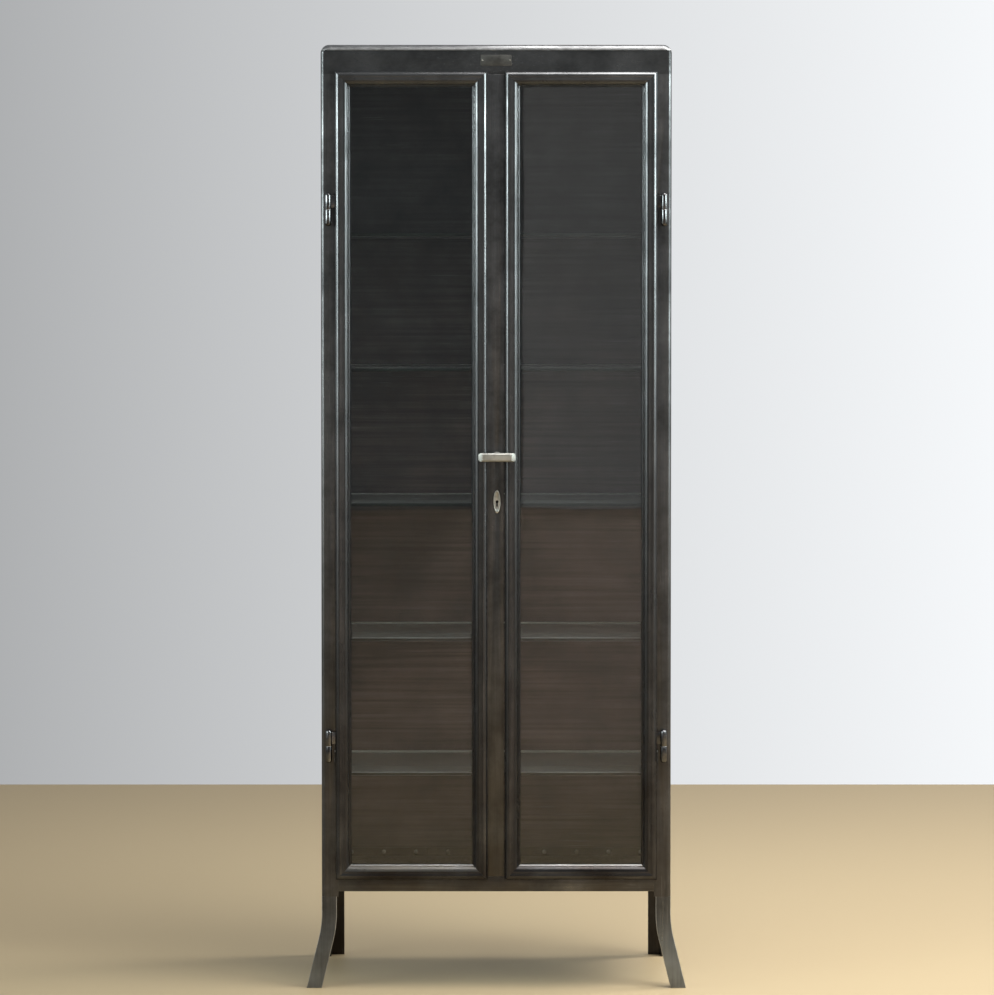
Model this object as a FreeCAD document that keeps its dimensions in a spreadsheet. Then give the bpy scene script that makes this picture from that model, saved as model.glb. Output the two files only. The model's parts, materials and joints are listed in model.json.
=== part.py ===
"""Two-door glazed steel medicine cabinet on splayed legs, as an assembly of separate pieces.

Millimetres, +Z up. The front faces -Y, the origin lies on the floor under the middle of the whole cabinet.
Every size below is a cell of the spreadsheet, and each piece is bound to those cells by expressions.
"""
import FreeCAD, Part
import math
import os

import Sketcher

SIZES = {
    # whole cabinet
    "cabinet_height": 1760,
    "body_width": 652,
    "body_depth": 360,
    "body_base": 182,
    "frame_sheet": 2,
    "panel_sheet": 1.5,
    "front_edge_radius": 7,
    "panel_lap": 18,
    "overrun": 5,
    # cap: top panel and header
    "cap_height": 54.5,
    "cap_corner_radius": 16,
    "top_roll_drop": 10.5,
    "top_roll_overhang": 1.5,
    "top_roll_radius": 10,
    "seam_gap": 0.5,
    "header_return": 20,
    "rod_flange_depth": 14,
    # door opening and sill
    "post_flange": 31,
    "sill_height": 27.5,
    "floor_rise": 11,
    "floor_flange": 16,
    # legs
    "leg_top": 172,
    "leg_flange": 28,
    "leg_wall": 3,
    "leg_straight": 30,
    "leg_bend_radius": 200,
    "leg_splay_angle": 13.8,
    # shelves
    "shelf_count": 5,
    "shelf_first_rise": 202,
    "shelf_pitch": 252,
    "shelf_glass": 6,
    "shelf_setback": 20,
    "shelf_side_gap": 2.5,
    "shelf_rear_gap": 2.5,
    "runner_width": 12,
    "runner_thickness": 3,
    # doors
    "door_overlay": 5,
    "door_gap": 0.6,
    "meeting_gap": 31,
    "moulding_width": 30.5,
    "moulding_height": 15,
    "moulding_wall": 1.6,
    "lip_width": 1.5,
    "lip_height": 5,
    "bead_radius": 7,
    "bead_foot": 8,
    "quirk_step": 0.8,
    "crest_end": 15.4,
    "inner_lip_rise": 1.6,
    "inner_lip_width": 6.5,
    "back_flange": 12,
    "pane_glass": 4,
    "pane_edge": 14,
    "retainer_edge": 8,
    "retainer_sheet": 1.5,
    # hinges
    "hinge_axis_inset": 14,
    "hinge_axis_stand": 6.3,
    "knuckle_radius": 6,
    "knuckle_height": 26,
    "knuckle_cap": 5,
    "knuckle_gap": 0.3,
    "hinge_rise": 245.5,
    "hinge_drop": 305.5,
    "hinge_pin_radius": 3,
    "hinge_pin_reach": 21,
    "hinge_bore_depth": 23,
    "running_clearance": 0.05,
    "hinge_leaf": 2,
    "hinge_leaf_setback": 1.7,
    "hinge_leaf_height": 22,
    "hinge_seat_width": 6,
    "hinge_notch_width": 4.5,
    "hinge_notch_edge": 2,
    # closing strip, rods and their gear
    "strip_lap": 7.5,
    "strip_sheet": 2,
    "strip_edge_gap": 0.7,
    "strip_end_gap": 0.5,
    "gear_offset": 1.5,
    "gear_height": 995,
    "gear_module": 1,
    "gear_teeth": 12,
    "gear_addendum": 0.9,
    "gear_dedendum": 1.1,
    "rack_addendum": 0.7,
    "rack_dedendum": 1.1,
    "rack_backlash": 0.3,
    "rack_gaps_beyond": 5,
    "rack_gaps_behind": 2,
    "pressure_angle": 20,
    "rod_back": 3.4,
    "rod_depth": 4,
    "rod_setback": 1.6,
    "rod_tail": 18.5,
    "rod_end_gap": 2,
    "rod_clearance": 0.3,
    "guide_wall": 1.8,
    "guide_height": 14,
    "guide_end_inset": 52,
    "guide_gear_reach": 280,
    "keep_sheet": 2,
    "keep_width": 20,
    "case_wall": 1.2,
    "gear_case_height": 42,
    "gear_case_depth": 8.6,
    # handle
    "handle_length": 69,
    "handle_height": 15.8,
    "handle_thickness": 11,
    "handle_stand": 24.4,
    "handle_end_radius": 5,
    "handle_bevel": 2.4,
    "handle_end_run": 7.5,
    "handle_end_fall": 4.4,
    "neck_radius": 6.5,
    "neck_gap": 0.3,
    "rose_radius": 9.2,
    "rose_thickness": 3,
    "spindle_radius": 4,
    "spindle_square": 5,
    "spindle_socket": 16,
    # lock
    "lock_drop": 84,
    "lock_above": 26,
    "lock_below": 26,
    "lock_case_depth": 13,
    "lock_case_left": 12.5,
    "lock_case_right": 13.5,
    "bolt_height": 10,
    "bolt_depth": 4,
    "bolt_setback": 6.8,
    "bolt_tail": 9,
    "bolt_talon": 4,
    "strike_gap": 4,
    "strike_sheet": 1.5,
    "strike_height": 24,
    "strike_foot": 4.5,
    "keyhole_radius": 2.8,
    "keyhole_slot": 2.6,
    "keyhole_drop": 9,
    "escutcheon_length": 43,
    "escutcheon_width": 13.6,
    "escutcheon_sheet": 2,
    "escutcheon_screw_inset": 4,
    "escutcheon_screw_radius": 1.4,
    "escutcheon_screw_head": 0.6,
    # bare plate and rivets
    "plate_width": 57.5,
    "plate_height": 19.6,
    "plate_sheet": 1,
    "plate_centre_drop": 29,
    "plate_rivet_inset": 3.2,
    "plate_rivet_radius": 1.5,
    "plate_rivet_head": 0.7,
    "rivet_count": 10,
    "rivet_edge_inset": 35.5,
    "rivet_rise": 8,
    "rivet_head_radius": 4.3,
    "rivet_crown_radius": 2.4,
    "rivet_head": 2,
    "rivet_shank_radius": 2,
}


class Size:
    """A length known twice: as a number now, and as the spreadsheet expression that drives it."""

    def __init__(self, value, text):
        self.value = value
        self.text = text

    def __add__(self, other):
        other = as_size(other)
        return Size(self.value + other.value, f"({self.text} + {other.text})")

    def __sub__(self, other):
        other = as_size(other)
        return Size(self.value - other.value, f"({self.text} - {other.text})")

    def __mul__(self, other):
        other = as_size(other)
        return Size(self.value * other.value, f"({self.text} * {other.text})")

    def __truediv__(self, other):
        other = as_size(other)
        return Size(self.value / other.value, f"({self.text} / {other.text})")

    def __neg__(self):
        return Size(-self.value, f"(0 - {self.text})")


def as_size(value):
    return value if isinstance(value, Size) else Size(value, repr(value))


def root(size):
    return Size(math.sqrt(size.value), f"sqrt({size.text})")


def sine(size):
    return Size(math.sin(math.radians(size.value)), f"sin({size.text})")


def cosine(size):
    return Size(math.cos(math.radians(size.value)), f"cos({size.text})")


def tangent(size):
    return Size(math.tan(math.radians(size.value)), f"tan({size.text})")


doc = FreeCAD.newDocument("medicine_cabinet")
sheet = doc.addObject("Spreadsheet::Sheet", "Sizes")
for row, (alias, number) in enumerate(SIZES.items(), start=1):
    sheet.set(f"A{row}", alias)
    sheet.set(f"B{row}", str(number))
    sheet.setAlias(f"B{row}", alias)
doc.recompute()

cell = {alias: Size(number, f"Sizes.{alias}") for alias, number in SIZES.items()}
zero = as_size(0)
nodes = []

TURN_Y = FreeCAD.Rotation(FreeCAD.Vector(1, 0, 0), -90)


# Helpers that make bound objects

def bind(thing, **sizes):
    for name, size in sizes.items():
        thing.setExpression(name, as_size(size).text)


def place(thing, x, y, z, rotation=None):
    spots = [as_size(spot) for spot in (x, y, z)]
    base = FreeCAD.Vector(*(spot.value for spot in spots))
    thing.Placement = FreeCAD.Placement(base, rotation or FreeCAD.Rotation())
    for axis, spot in zip("xyz", spots):
        thing.setExpression(f"Placement.Base.{axis}", spot.text)
    return thing


def node(thing, label):
    """Names a finished piece. Its label becomes its file name."""
    thing.Label = label
    nodes.append(thing)
    return thing


def box(x, y, z):
    """A block between pairs of places along each axis."""
    block = doc.addObject("Part::Box", "block")
    bind(block, Length=x[1] - x[0], Width=y[1] - y[0], Height=z[1] - z[0])
    return place(block, x[0], y[0], z[0])


def upright(radius, x, y, z):
    rod = doc.addObject("Part::Cylinder", "upright")
    bind(rod, Radius=radius, Height=z[1] - z[0])
    return place(rod, x, y, z[0])


def crosswise(radius, x, y, z):
    """A cylinder that runs from front to back."""
    rod = doc.addObject("Part::Cylinder", "crosswise")
    bind(rod, Radius=radius, Height=y[1] - y[0])
    return place(rod, x, y[0], z, TURN_Y)


def taper(front_radius, back_radius, x, y, z):
    cone = doc.addObject("Part::Cone", "taper")
    bind(cone, Radius1=front_radius, Radius2=back_radius, Height=y[1] - y[0])
    return place(cone, x, y[0], z, TURN_Y)


def group(pieces):
    compound = doc.addObject("Part::Compound", "group")
    compound.Links = pieces
    return compound


def fuse(*pieces):
    union = doc.addObject("Part::MultiFuse", "union")
    union.Shapes = list(pieces)
    return union


def cut(base, *tools):
    rest = doc.addObject("Part::Cut", "rest")
    rest.Base = base
    rest.Tool = tools[0] if len(tools) == 1 else fuse(*tools)
    return rest


def common(base, tool):
    shared = doc.addObject("Part::Common", "shared")
    shared.Base = base
    shared.Tool = tool
    return shared


def new_body():
    return doc.addObject("PartDesign::Body", "body")


def arc_between(start, end, radius, turn):
    """The short arc from start to end. turn is +1 to the left and -1 to the right."""
    chord = end - start
    middle = (start + end) * 0.5
    left = FreeCAD.Vector(-chord.y, chord.x, 0).normalize()
    rise = math.sqrt(max(radius ** 2 - (chord.Length / 2) ** 2, 0))
    centre = middle + left * rise * turn
    first, last = (start, end) if turn > 0 else (end, start)
    angles = [math.atan2(point.y - centre.y, point.x - centre.x) for point in (first, last)]
    circle = Part.Circle(centre, FreeCAD.Vector(0, 0, 1), radius)
    return Part.ArcOfCircle(circle, *angles)


def outline(body, plane, points, arcs=None):
    """A closed sketch through points given as pairs of sizes. arcs maps a side to (radius, turn)."""
    arcs = arcs or {}
    origin_plane = next(item for item in body.Origin.OriginFeatures if item.Role == plane)
    drawing = body.newObject("Sketcher::SketchObject", "outline")
    drawing.AttachmentSupport = [(origin_plane, "")]
    drawing.MapMode = "FlatFace"
    pairs = [(as_size(u), as_size(v)) for u, v in points]
    corners = [FreeCAD.Vector(u.value, v.value, 0) for u, v in pairs]
    ends = []
    for side, start in enumerate(corners):
        end = corners[(side + 1) % len(corners)]
        if side in arcs:
            radius, turn = arcs[side]
            drawing.addGeometry(arc_between(start, end, radius.value, turn))
            ends.append((1, 2) if turn > 0 else (2, 1))
        else:
            drawing.addGeometry(Part.LineSegment(start, end))
            ends.append((1, 2))
    for side in range(len(corners)):
        following = (side + 1) % len(corners)
        join = Sketcher.Constraint("Coincident", side, ends[side][1], following, ends[following][0])
        drawing.addConstraint(join)
    for side, pair in enumerate(pairs):
        for kind, axis, spot in zip(("DistanceX", "DistanceY"), (-2, -1), pair):
            if spot.value == 0:
                drawing.addConstraint(Sketcher.Constraint("PointOnObject", side, ends[side][0], axis))
                continue
            rule = Sketcher.Constraint(kind, -1, 1, side, ends[side][0], spot.value)
            drawing.setExpression(f"Constraints[{drawing.addConstraint(rule)}]", spot.text)
    for side, (radius, turn) in arcs.items():
        rule = drawing.addConstraint(Sketcher.Constraint("Radius", side, radius.value))
        drawing.setExpression(f"Constraints[{rule}]", radius.text)
    return drawing


def pad(body, drawing, length, backwards=False):
    feature = body.newObject("PartDesign::Pad", "pad")
    feature.Profile = drawing
    feature.Reversed = backwards
    bind(feature, Length=length)
    return feature


def pocket_through(body, drawing):
    feature = body.newObject("PartDesign::Pocket", "pocket")
    feature.Profile = drawing
    feature.Type = "ThroughAll"
    feature.Midplane = True
    return feature


# Places that several pieces share

half_width = cell["body_width"] / 2
front_gap = cell["door_gap"]
handle_reach = front_gap + cell["handle_stand"] + cell["handle_thickness"]
front_face = (handle_reach - cell["body_depth"]) / 2
rear_face = front_face + cell["body_depth"]
wall = cell["frame_sheet"]
thin = cell["panel_sheet"]
edge_radius = cell["front_edge_radius"]
post_flange = cell["post_flange"]
half_opening = half_width - post_flange
cap_base = cell["cabinet_height"] - cell["cap_height"]
opening_top = cap_base
inner_side = half_width - wall
panel_side = inner_side - thin
panel_start = front_face + edge_radius
panel_end = rear_face - edge_radius
back_panel_front = rear_face - wall - thin
opening_base = cell["body_base"] + cell["sill_height"]
floor_under = cell["body_base"] + cell["floor_rise"]
floor_top = floor_under + wall

door_back = front_face - front_gap
door_outer = half_opening + cell["door_overlay"]
door_inner = cell["meeting_gap"] / 2
door_base = opening_base - cell["door_overlay"]
door_top = opening_top + cell["door_overlay"]
moulding = cell["moulding_width"]

hinge_x = half_width - cell["hinge_axis_inset"]
hinge_y = front_face - cell["hinge_axis_stand"]
hinge_splits = (opening_base + cell["hinge_rise"], cell["cabinet_height"] - cell["hinge_drop"])

strip_front = door_back
strip_back = strip_front + cell["strip_sheet"]
strip_left = -door_inner - cell["strip_lap"]
strip_right = door_inner - cell["strip_edge_gap"]
strip_base = opening_base + cell["strip_end_gap"]
strip_top = opening_top - cell["strip_end_gap"]

gear_x = cell["gear_offset"]
gear_z = cell["gear_height"]
lock_z = gear_z - cell["lock_drop"]
pitch_radius = cell["gear_module"] * cell["gear_teeth"] / 2
tooth_pitch = cell["gear_module"] * math.pi
rod_front = strip_back + cell["rod_setback"]
rod_rear = rod_front + cell["rod_depth"]
rack_tip = pitch_radius - cell["rack_addendum"]
rack_root = pitch_radius + cell["rack_dedendum"]
rod_outer = rack_root + cell["rod_back"]
clear = cell["rod_clearance"]


# Cap: the top panel with its rolled front edge, and the header under the seam

def cap_block(inset, foot, overhang, roll):
    """The cap's outline, standing inset from the outside, with its front rim rounded and brought forward."""
    body = new_body()
    corner = cell["cap_corner_radius"] - inset
    side = half_width - inset
    top = cell["cabinet_height"] - inset
    points = [
        (-side, foot),
        (side, foot),
        (side, top - corner),
        (side - corner, top),
        (corner - side, top),
        (-side, top - corner),
    ]
    drawing = outline(body, "XZ_Plane", points, {2: (corner, 1), 4: (corner, 1)})
    block = pad(body, drawing, cell["body_depth"] - inset * 2 + overhang, backwards=True)
    doc.recompute()
    rim = [
        f"Edge{number}"
        for number, edge in enumerate(block.Shape.Edges, start=1)
        if all(abs(vertex.Y) < 1e-6 for vertex in edge.Vertexes)
        and edge.CenterOfMass.z > foot.value + 1e-6
    ]
    rounding = body.newObject("PartDesign::Fillet", "rounding")
    rounding.Base = (block, rim)
    bind(rounding, Radius=roll - inset)
    return place(body, 0, front_face + inset - overhang, 0)


def make_cap():
    overrun = cell["overrun"]
    overhang = cell["top_roll_overhang"]
    roll = cell["top_roll_radius"]
    outer_roll = cap_block(zero, cap_base, overhang, roll)
    inner_roll = cap_block(wall, cap_base - overrun, overhang, roll)
    shell = cut(outer_roll, inner_roll)
    seam = cell["cabinet_height"] - cell["top_roll_drop"]
    across = (-half_width - overrun, half_width + overrun)
    return_y = (front_face - overrun, front_face + cell["header_return"])
    front_zone = box(across, return_y, (cap_base - overrun, seam))
    node(cut(shell, front_zone), "top_panel")

    header_zone = box(across, return_y, (cap_base - overrun, seam - cell["seam_gap"]))
    flange = box(
        (-half_opening, half_opening),
        (front_face + wall, front_face + cell["rod_flange_depth"]),
        (cap_base, cap_base + wall),
    )
    outer_face = cap_block(zero, cap_base, zero, edge_radius)
    inner_face = cap_block(wall, cap_base - overrun, zero, edge_radius)
    header_shell = cut(outer_face, inner_face)
    header = fuse(common(header_shell, header_zone), flange)
    hole = rod_hole(-1, (cap_base - overrun, cap_base + wall + overrun))
    node(cut(header, hole), "header_rail")


# Frame: corner posts, side panels, sill, floor and back

def angle_section(body, flange, thickness, radius):
    inner = radius - thickness
    points = [
        (radius, zero),
        (flange, zero),
        (flange, thickness),
        (radius, thickness),
        (thickness, radius),
        (thickness, flange),
        (zero, flange),
        (zero, radius),
    ]
    return outline(body, "XY_Plane", points, {3: (inner, -1), 7: (radius, 1)})


def make_posts():
    corners = {
        "left_front_post": (-half_width, front_face, 0),
        "right_front_post": (half_width, front_face, 90),
        "right_rear_post": (half_width, rear_face, 180),
        "left_rear_post": (-half_width, rear_face, 270),
    }
    notch_x = post_flange - cell["hinge_notch_edge"]
    notch_far = notch_x - cell["hinge_notch_width"]
    reach = cell["knuckle_height"] + cell["knuckle_cap"]
    for label, (x, y, angle) in corners.items():
        body = new_body()
        section = angle_section(body, post_flange, wall, edge_radius)
        pad(body, section, cap_base - cell["leg_top"])
        if "front" in label:
            plane = "XZ_Plane" if "left" in label else "YZ_Plane"
            for split in hinge_splits:
                low = split - reach - cell["leg_top"]
                high = split + reach - cell["leg_top"]
                notch = [(notch_far, low), (notch_x, low), (notch_x, high), (notch_far, high)]
                pocket_through(body, outline(body, plane, notch))
        turn = FreeCAD.Rotation(FreeCAD.Vector(0, 0, 1), angle)
        node(place(body, x, y, cell["leg_top"], turn), label)


def make_panels():
    z = (cell["body_base"], cap_base + cell["panel_lap"])
    sides = {
        "left_side_panel": (-inner_side, -panel_side),
        "right_side_panel": (panel_side, inner_side),
    }
    for label, x in sides.items():
        node(box(x, (panel_start, panel_end), z), label)
    back_half = half_width - edge_radius
    back = box((-back_half, back_half), (back_panel_front, rear_face - wall), z)
    node(cut(back, group(rivet_holes())), "back_panel")


def make_sill():
    body = new_body()
    depth = cell["rod_flange_depth"]
    low = cell["body_base"]
    high = opening_base
    points = [
        (zero, low),
        (depth, low),
        (depth, low + wall),
        (wall, low + wall),
        (wall, high - wall),
        (depth, high - wall),
        (depth, high),
        (zero, high),
    ]
    pad(body, outline(body, "YZ_Plane", points), half_opening * 2)
    place(body, -half_opening, front_face, 0)
    hole = rod_hole(1, (high - wall - cell["overrun"], high + cell["overrun"]))
    node(cut(body, hole), "sill_rail")


def make_floor():
    """A pan whose front edge turns down onto the sill and whose rear edge turns up against the back."""
    body = new_body()
    front = edge_radius
    rear = back_panel_front - front_face
    under = floor_under
    ledge = cell["body_base"] + wall
    points = [
        (front, ledge),
        (front + wall, ledge),
        (front + wall, under),
        (rear, under),
        (rear, floor_top + cell["floor_flange"]),
        (rear - thin, floor_top + cell["floor_flange"]),
        (rear - thin, floor_top),
        (front, floor_top),
    ]
    pad(body, outline(body, "YZ_Plane", points), panel_side * 2)
    place(body, -panel_side, front_face, 0)
    node(cut(body, group(rivet_holes())), "floor_panel")


def rivet_places():
    count = int(SIZES["rivet_count"])
    reach = half_width - edge_radius - cell["rivet_edge_inset"]
    return [reach * (2 * number / (count - 1) - 1) for number in range(count)]


def rivet_holes():
    overrun = cell["overrun"]
    y = (back_panel_front - thin - overrun, rear_face + overrun)
    z = floor_top + cell["rivet_rise"]
    return [crosswise(cell["rivet_shank_radius"], x, y, z) for x in rivet_places()]


def make_back_rivets():
    face = back_panel_front - thin
    z = floor_top + cell["rivet_rise"]
    rivets = []
    for x in rivet_places():
        head_y = (face - cell["rivet_head"], face)
        head = taper(cell["rivet_crown_radius"], cell["rivet_head_radius"], x, head_y, z)
        shank = crosswise(cell["rivet_shank_radius"], x, (face, rear_face - wall), z)
        rivets.append(fuse(head, shank))
    node(group(rivets), "back_panel_rivets")


# Legs

def front_leg(label, side):
    """An angle whose two flanges sweep outward together. It is drawn with its inner edge at x = 0."""
    body = new_body()
    flange = cell["leg_flange"]
    bend = cell["leg_top"] - cell["leg_straight"]
    radius = cell["leg_bend_radius"]
    angle = cell["leg_splay_angle"]

    def edge_points(width, offset):
        """Top, bend start, bend end and foot of an edge that lies inward of the outer edge by offset."""
        curve = radius + offset
        end_z = bend - curve * sine(angle)
        end_x = width + curve * (as_size(1) - cosine(angle))
        foot_x = end_x + end_z * tangent(angle)
        return [(width, cell["leg_top"]), (width, bend), (end_x, end_z), (foot_x, zero)]

    def strip_between(inward):
        outer = edge_points(flange, zero)
        inner = edge_points(flange - inward, inward)
        arcs = {1: (radius, 1), 5: (radius + inward, -1)}
        return outline(body, "XZ_Plane", outer + inner[::-1], arcs)

    backwards = side > 0
    pad(body, strip_between(flange), cell["leg_wall"], backwards)
    pad(body, strip_between(cell["leg_wall"]), flange, backwards)
    turn = FreeCAD.Rotation(FreeCAD.Vector(0, 0, 1), 0 if side > 0 else 180)
    x = half_width - flange if side > 0 else flange - half_width
    node(place(body, x, front_face, 0, turn), label)


def rear_leg(label, x, angle):
    body = new_body()
    pad(body, angle_section(body, cell["leg_flange"], cell["leg_wall"], edge_radius), cell["leg_top"])
    turn = FreeCAD.Rotation(FreeCAD.Vector(0, 0, 1), angle)
    node(place(body, x, rear_face, 0, turn), label)


def make_legs():
    front_leg("front_left_leg", -1)
    front_leg("front_right_leg", 1)
    rear_leg("rear_left_leg", -half_width, 270)
    rear_leg("rear_right_leg", half_width, 180)


# Shelves

def make_shelves():
    runner_y = (front_face + post_flange, rear_face - post_flange)
    half_shelf = panel_side - cell["shelf_side_gap"]
    shelf_y = (front_face + cell["shelf_setback"], back_panel_front - cell["shelf_rear_gap"])
    runners = []
    for number in range(int(SIZES["shelf_count"])):
        under = floor_top + cell["shelf_first_rise"] + cell["shelf_pitch"] * number
        z = (under - cell["runner_thickness"], under)
        runners.append(box((-panel_side, cell["runner_width"] - panel_side), runner_y, z))
        runners.append(box((panel_side - cell["runner_width"], panel_side), runner_y, z))
        pane = box((-half_shelf, half_shelf), shelf_y, (under, under + cell["shelf_glass"]))
        node(pane, f"glass_shelf_{number + 1}")
    node(group(runners), "shelf_runners")


# Doors

def moulding_section(body):
    """The pressed door section: outer lip and bead, flat crest, broad inner round, lip on the glass."""
    width = moulding
    height = cell["moulding_height"]
    skin = cell["moulding_wall"]
    lip = cell["lip_width"]
    bead = cell["bead_radius"]
    foot = cell["bead_foot"]
    crest = height - cell["quirk_step"]
    crest_start = lip + bead
    crest_end = cell["crest_end"]
    glass = cell["pane_glass"]
    lip_face = glass + cell["inner_lip_rise"]
    inner_lip = cell["inner_lip_width"]
    run = width - inner_lip - crest_end
    fall = crest - lip_face
    sweep = (run * run + fall * fall) / (fall * 2)
    inner_sweep = sweep - skin
    centre = crest - sweep
    inner_end = crest_end + root(inner_sweep * inner_sweep - (glass - centre) * (glass - centre))
    hollow_side = lip + skin
    hollow_radius = crest - skin - foot
    points = [
        (zero, zero),
        (cell["back_flange"], zero),
        (cell["back_flange"], skin),
        (hollow_side, skin),
        (hollow_side, foot),
        (hollow_side + hollow_radius, crest - skin),
        (crest_end, crest - skin),
        (inner_end, glass),
        (width, glass),
        (width, lip_face),
        (width - inner_lip, lip_face),
        (crest_end, crest),
        (crest_start, crest),
        (crest_start, height),
        (lip, foot),
        (lip, cell["lip_height"]),
        (zero, cell["lip_height"]),
    ]
    arcs = {4: (hollow_radius, -1), 6: (inner_sweep, -1), 10: (sweep, 1), 13: (bead, 1)}
    return outline(body, "XY_Plane", points, arcs)


def moulding_bar(label, length, x, z, across, along):
    """A length of the door section with both ends mitred, laid with its outer edge at the given place."""
    body = new_body()
    pad(body, moulding_section(body), length)
    far = moulding + cell["overrun"]
    lower_mitre = [(zero, zero), (far, zero), (far, far)]
    upper_mitre = [(zero, length), (far, length - far), (far, length)]
    for mitre in (lower_mitre, upper_mitre):
        pocket_through(body, outline(body, "XZ_Plane", mitre))
    turn = FreeCAD.Rotation(across, FreeCAD.Vector(0, -1, 0), along, "ZXY")
    node(place(body, x, door_back, z, turn), label)


def make_door_frame(side, name):
    """side is -1 for the left leaf and +1 for the right leaf."""
    right = FreeCAD.Vector(1, 0, 0)
    up = FreeCAD.Vector(0, 0, 1)
    height = door_top - door_base
    width = door_outer - door_inner
    left_x = -door_outer if side < 0 else door_inner
    right_x = -door_inner if side < 0 else door_outer
    left_name, right_name = ("hinge", "meeting") if side < 0 else ("meeting", "hinge")
    moulding_bar(f"{name}_{left_name}_stile", height, left_x, door_top, right, -up)
    moulding_bar(f"{name}_{right_name}_stile", height, right_x, door_base, -right, up)
    moulding_bar(f"{name}_top_rail", width, right_x, door_top, -up, -right)
    moulding_bar(f"{name}_bottom_rail", width, left_x, door_base, up, right)


def make_door_glazing(side, name):
    low, high = (-door_outer, -door_inner) if side < 0 else (door_inner, door_outer)
    edge = cell["pane_edge"]
    pane_y = (door_back - cell["pane_glass"], door_back)
    pane = box((low + edge, high - edge), pane_y, (door_base + edge, door_top - edge))
    node(pane, f"{name}_glass")
    start = cell["retainer_edge"]
    y = (door_back, door_back + cell["retainer_sheet"])
    z = (door_base + start, door_top - start)
    upright_strips = [
        box((low + start, low + moulding), y, z),
        box((high - moulding, high - start), y, z),
    ]
    between = (low + moulding, high - moulding)
    level_strips = [
        box(between, y, (door_base + start, door_base + moulding)),
        box(between, y, (door_top - moulding, door_top - start)),
    ]
    node(group(upright_strips + level_strips), f"{name}_glass_retainers")


# Hinges

def knuckle(x, split, up):
    """One bullet-ended half of a lift-off hinge, above the split for the door and below it for the post."""
    gap = cell["knuckle_gap"] / 2
    height = cell["knuckle_height"]
    z = (split + gap, split + height) if up else (split - height, split - gap)
    barrel = upright(cell["knuckle_radius"], x, hinge_y, z)
    cap = doc.addObject("Part::Ellipsoid", "cap")
    bind(cap, Radius1=cell["knuckle_cap"], Radius2=cell["knuckle_radius"], Radius3=cell["knuckle_radius"])
    place(cap, x, hinge_y, z[1] if up else z[0])
    return barrel, cap, z


def door_knuckle(side, split):
    x = hinge_x * side
    barrel, cap, z = knuckle(x, split, True)
    y = (hinge_y + cell["hinge_leaf_setback"], hinge_y + cell["hinge_leaf_setback"] + cell["hinge_leaf"])
    leaf_x = (x, -door_outer) if side < 0 else (door_outer, x)
    leaf_z = (z[1] - cell["hinge_leaf_height"], z[1])
    bore = upright(
        cell["hinge_pin_radius"] + cell["running_clearance"],
        x,
        hinge_y,
        (split - cell["overrun"], split + cell["hinge_bore_depth"]),
    )
    return cut(fuse(barrel, cap, box(leaf_x, y, leaf_z)), bore)


def body_knuckle(side, split):
    x = hinge_x * side
    barrel, cap, z = knuckle(x, split, False)
    half_seat = cell["hinge_seat_width"] / 2
    seat = box((x - half_seat, x + half_seat), (hinge_y, front_face), z)
    bore_z = (split - cell["hinge_pin_reach"], split + cell["overrun"])
    bore = upright(cell["hinge_pin_radius"], x, hinge_y, bore_z)
    return cut(fuse(barrel, cap, seat), bore)


def make_hinges():
    both = [(side, split) for side in (-1, 1) for split in hinge_splits]
    reach = cell["hinge_pin_reach"]
    pins = [
        upright(cell["hinge_pin_radius"], hinge_x * side, hinge_y, (split - reach, split + reach))
        for side, split in both
    ]
    node(group([body_knuckle(side, split) for side, split in both]), "hinge_post_knuckles")
    node(group(pins), "hinge_pins")
    for side, name in ((-1, "left"), (1, "right")):
        node(group([door_knuckle(side, split) for split in hinge_splits]), f"{name}_door_hinge_knuckles")


# Closing strip with the handle, the rod gear and the lock

def keyhole_cutter():
    overrun = cell["overrun"]
    y = (strip_front - cell["escutcheon_sheet"] - overrun, strip_back + overrun)
    z = lock_z
    half_slot = cell["keyhole_slot"] / 2
    barrel = crosswise(cell["keyhole_radius"], gear_x, y, z)
    slot = box((gear_x - half_slot, gear_x + half_slot), y, (z - cell["keyhole_drop"], z))
    return fuse(barrel, slot)


def spindle_bore(y):
    return crosswise(cell["spindle_radius"] + cell["running_clearance"], gear_x, y, gear_z)


def make_strip():
    overrun = cell["overrun"]
    plate = box((strip_left, strip_right), (strip_front, strip_back), (strip_base, strip_top))
    bore = spindle_bore((strip_front - overrun, strip_back + overrun))
    node(cut(plate, bore, keyhole_cutter()), "closing_strip")


def make_escutcheon():
    ellipse = doc.addObject("Part::Ellipse", "oval")
    bind(ellipse, MajorRadius=cell["escutcheon_length"] / 2, MinorRadius=cell["escutcheon_width"] / 2)
    upright_oval = FreeCAD.Rotation(
        FreeCAD.Vector(0, 0, 1), FreeCAD.Vector(1, 0, 0), FreeCAD.Vector(0, 1, 0), "ZXY"
    )
    face = strip_front - cell["escutcheon_sheet"]
    place(ellipse, gear_x, face, lock_z, upright_oval)
    plate = doc.addObject("Part::Extrusion", "oval_plate")
    plate.Base = ellipse
    plate.DirMode = "Custom"
    plate.Dir = FreeCAD.Vector(0, 1, 0)
    plate.Solid = True
    bind(plate, LengthFwd=cell["escutcheon_sheet"])
    node(cut(plate, keyhole_cutter()), "escutcheon")
    reach = cell["escutcheon_length"] / 2 - cell["escutcheon_screw_inset"]
    y = (face - cell["escutcheon_screw_head"], face)
    heads = [
        crosswise(cell["escutcheon_screw_radius"], gear_x, y, lock_z + reach * way) for way in (-1, 1)
    ]
    node(group(heads), "escutcheon_screws")


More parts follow.
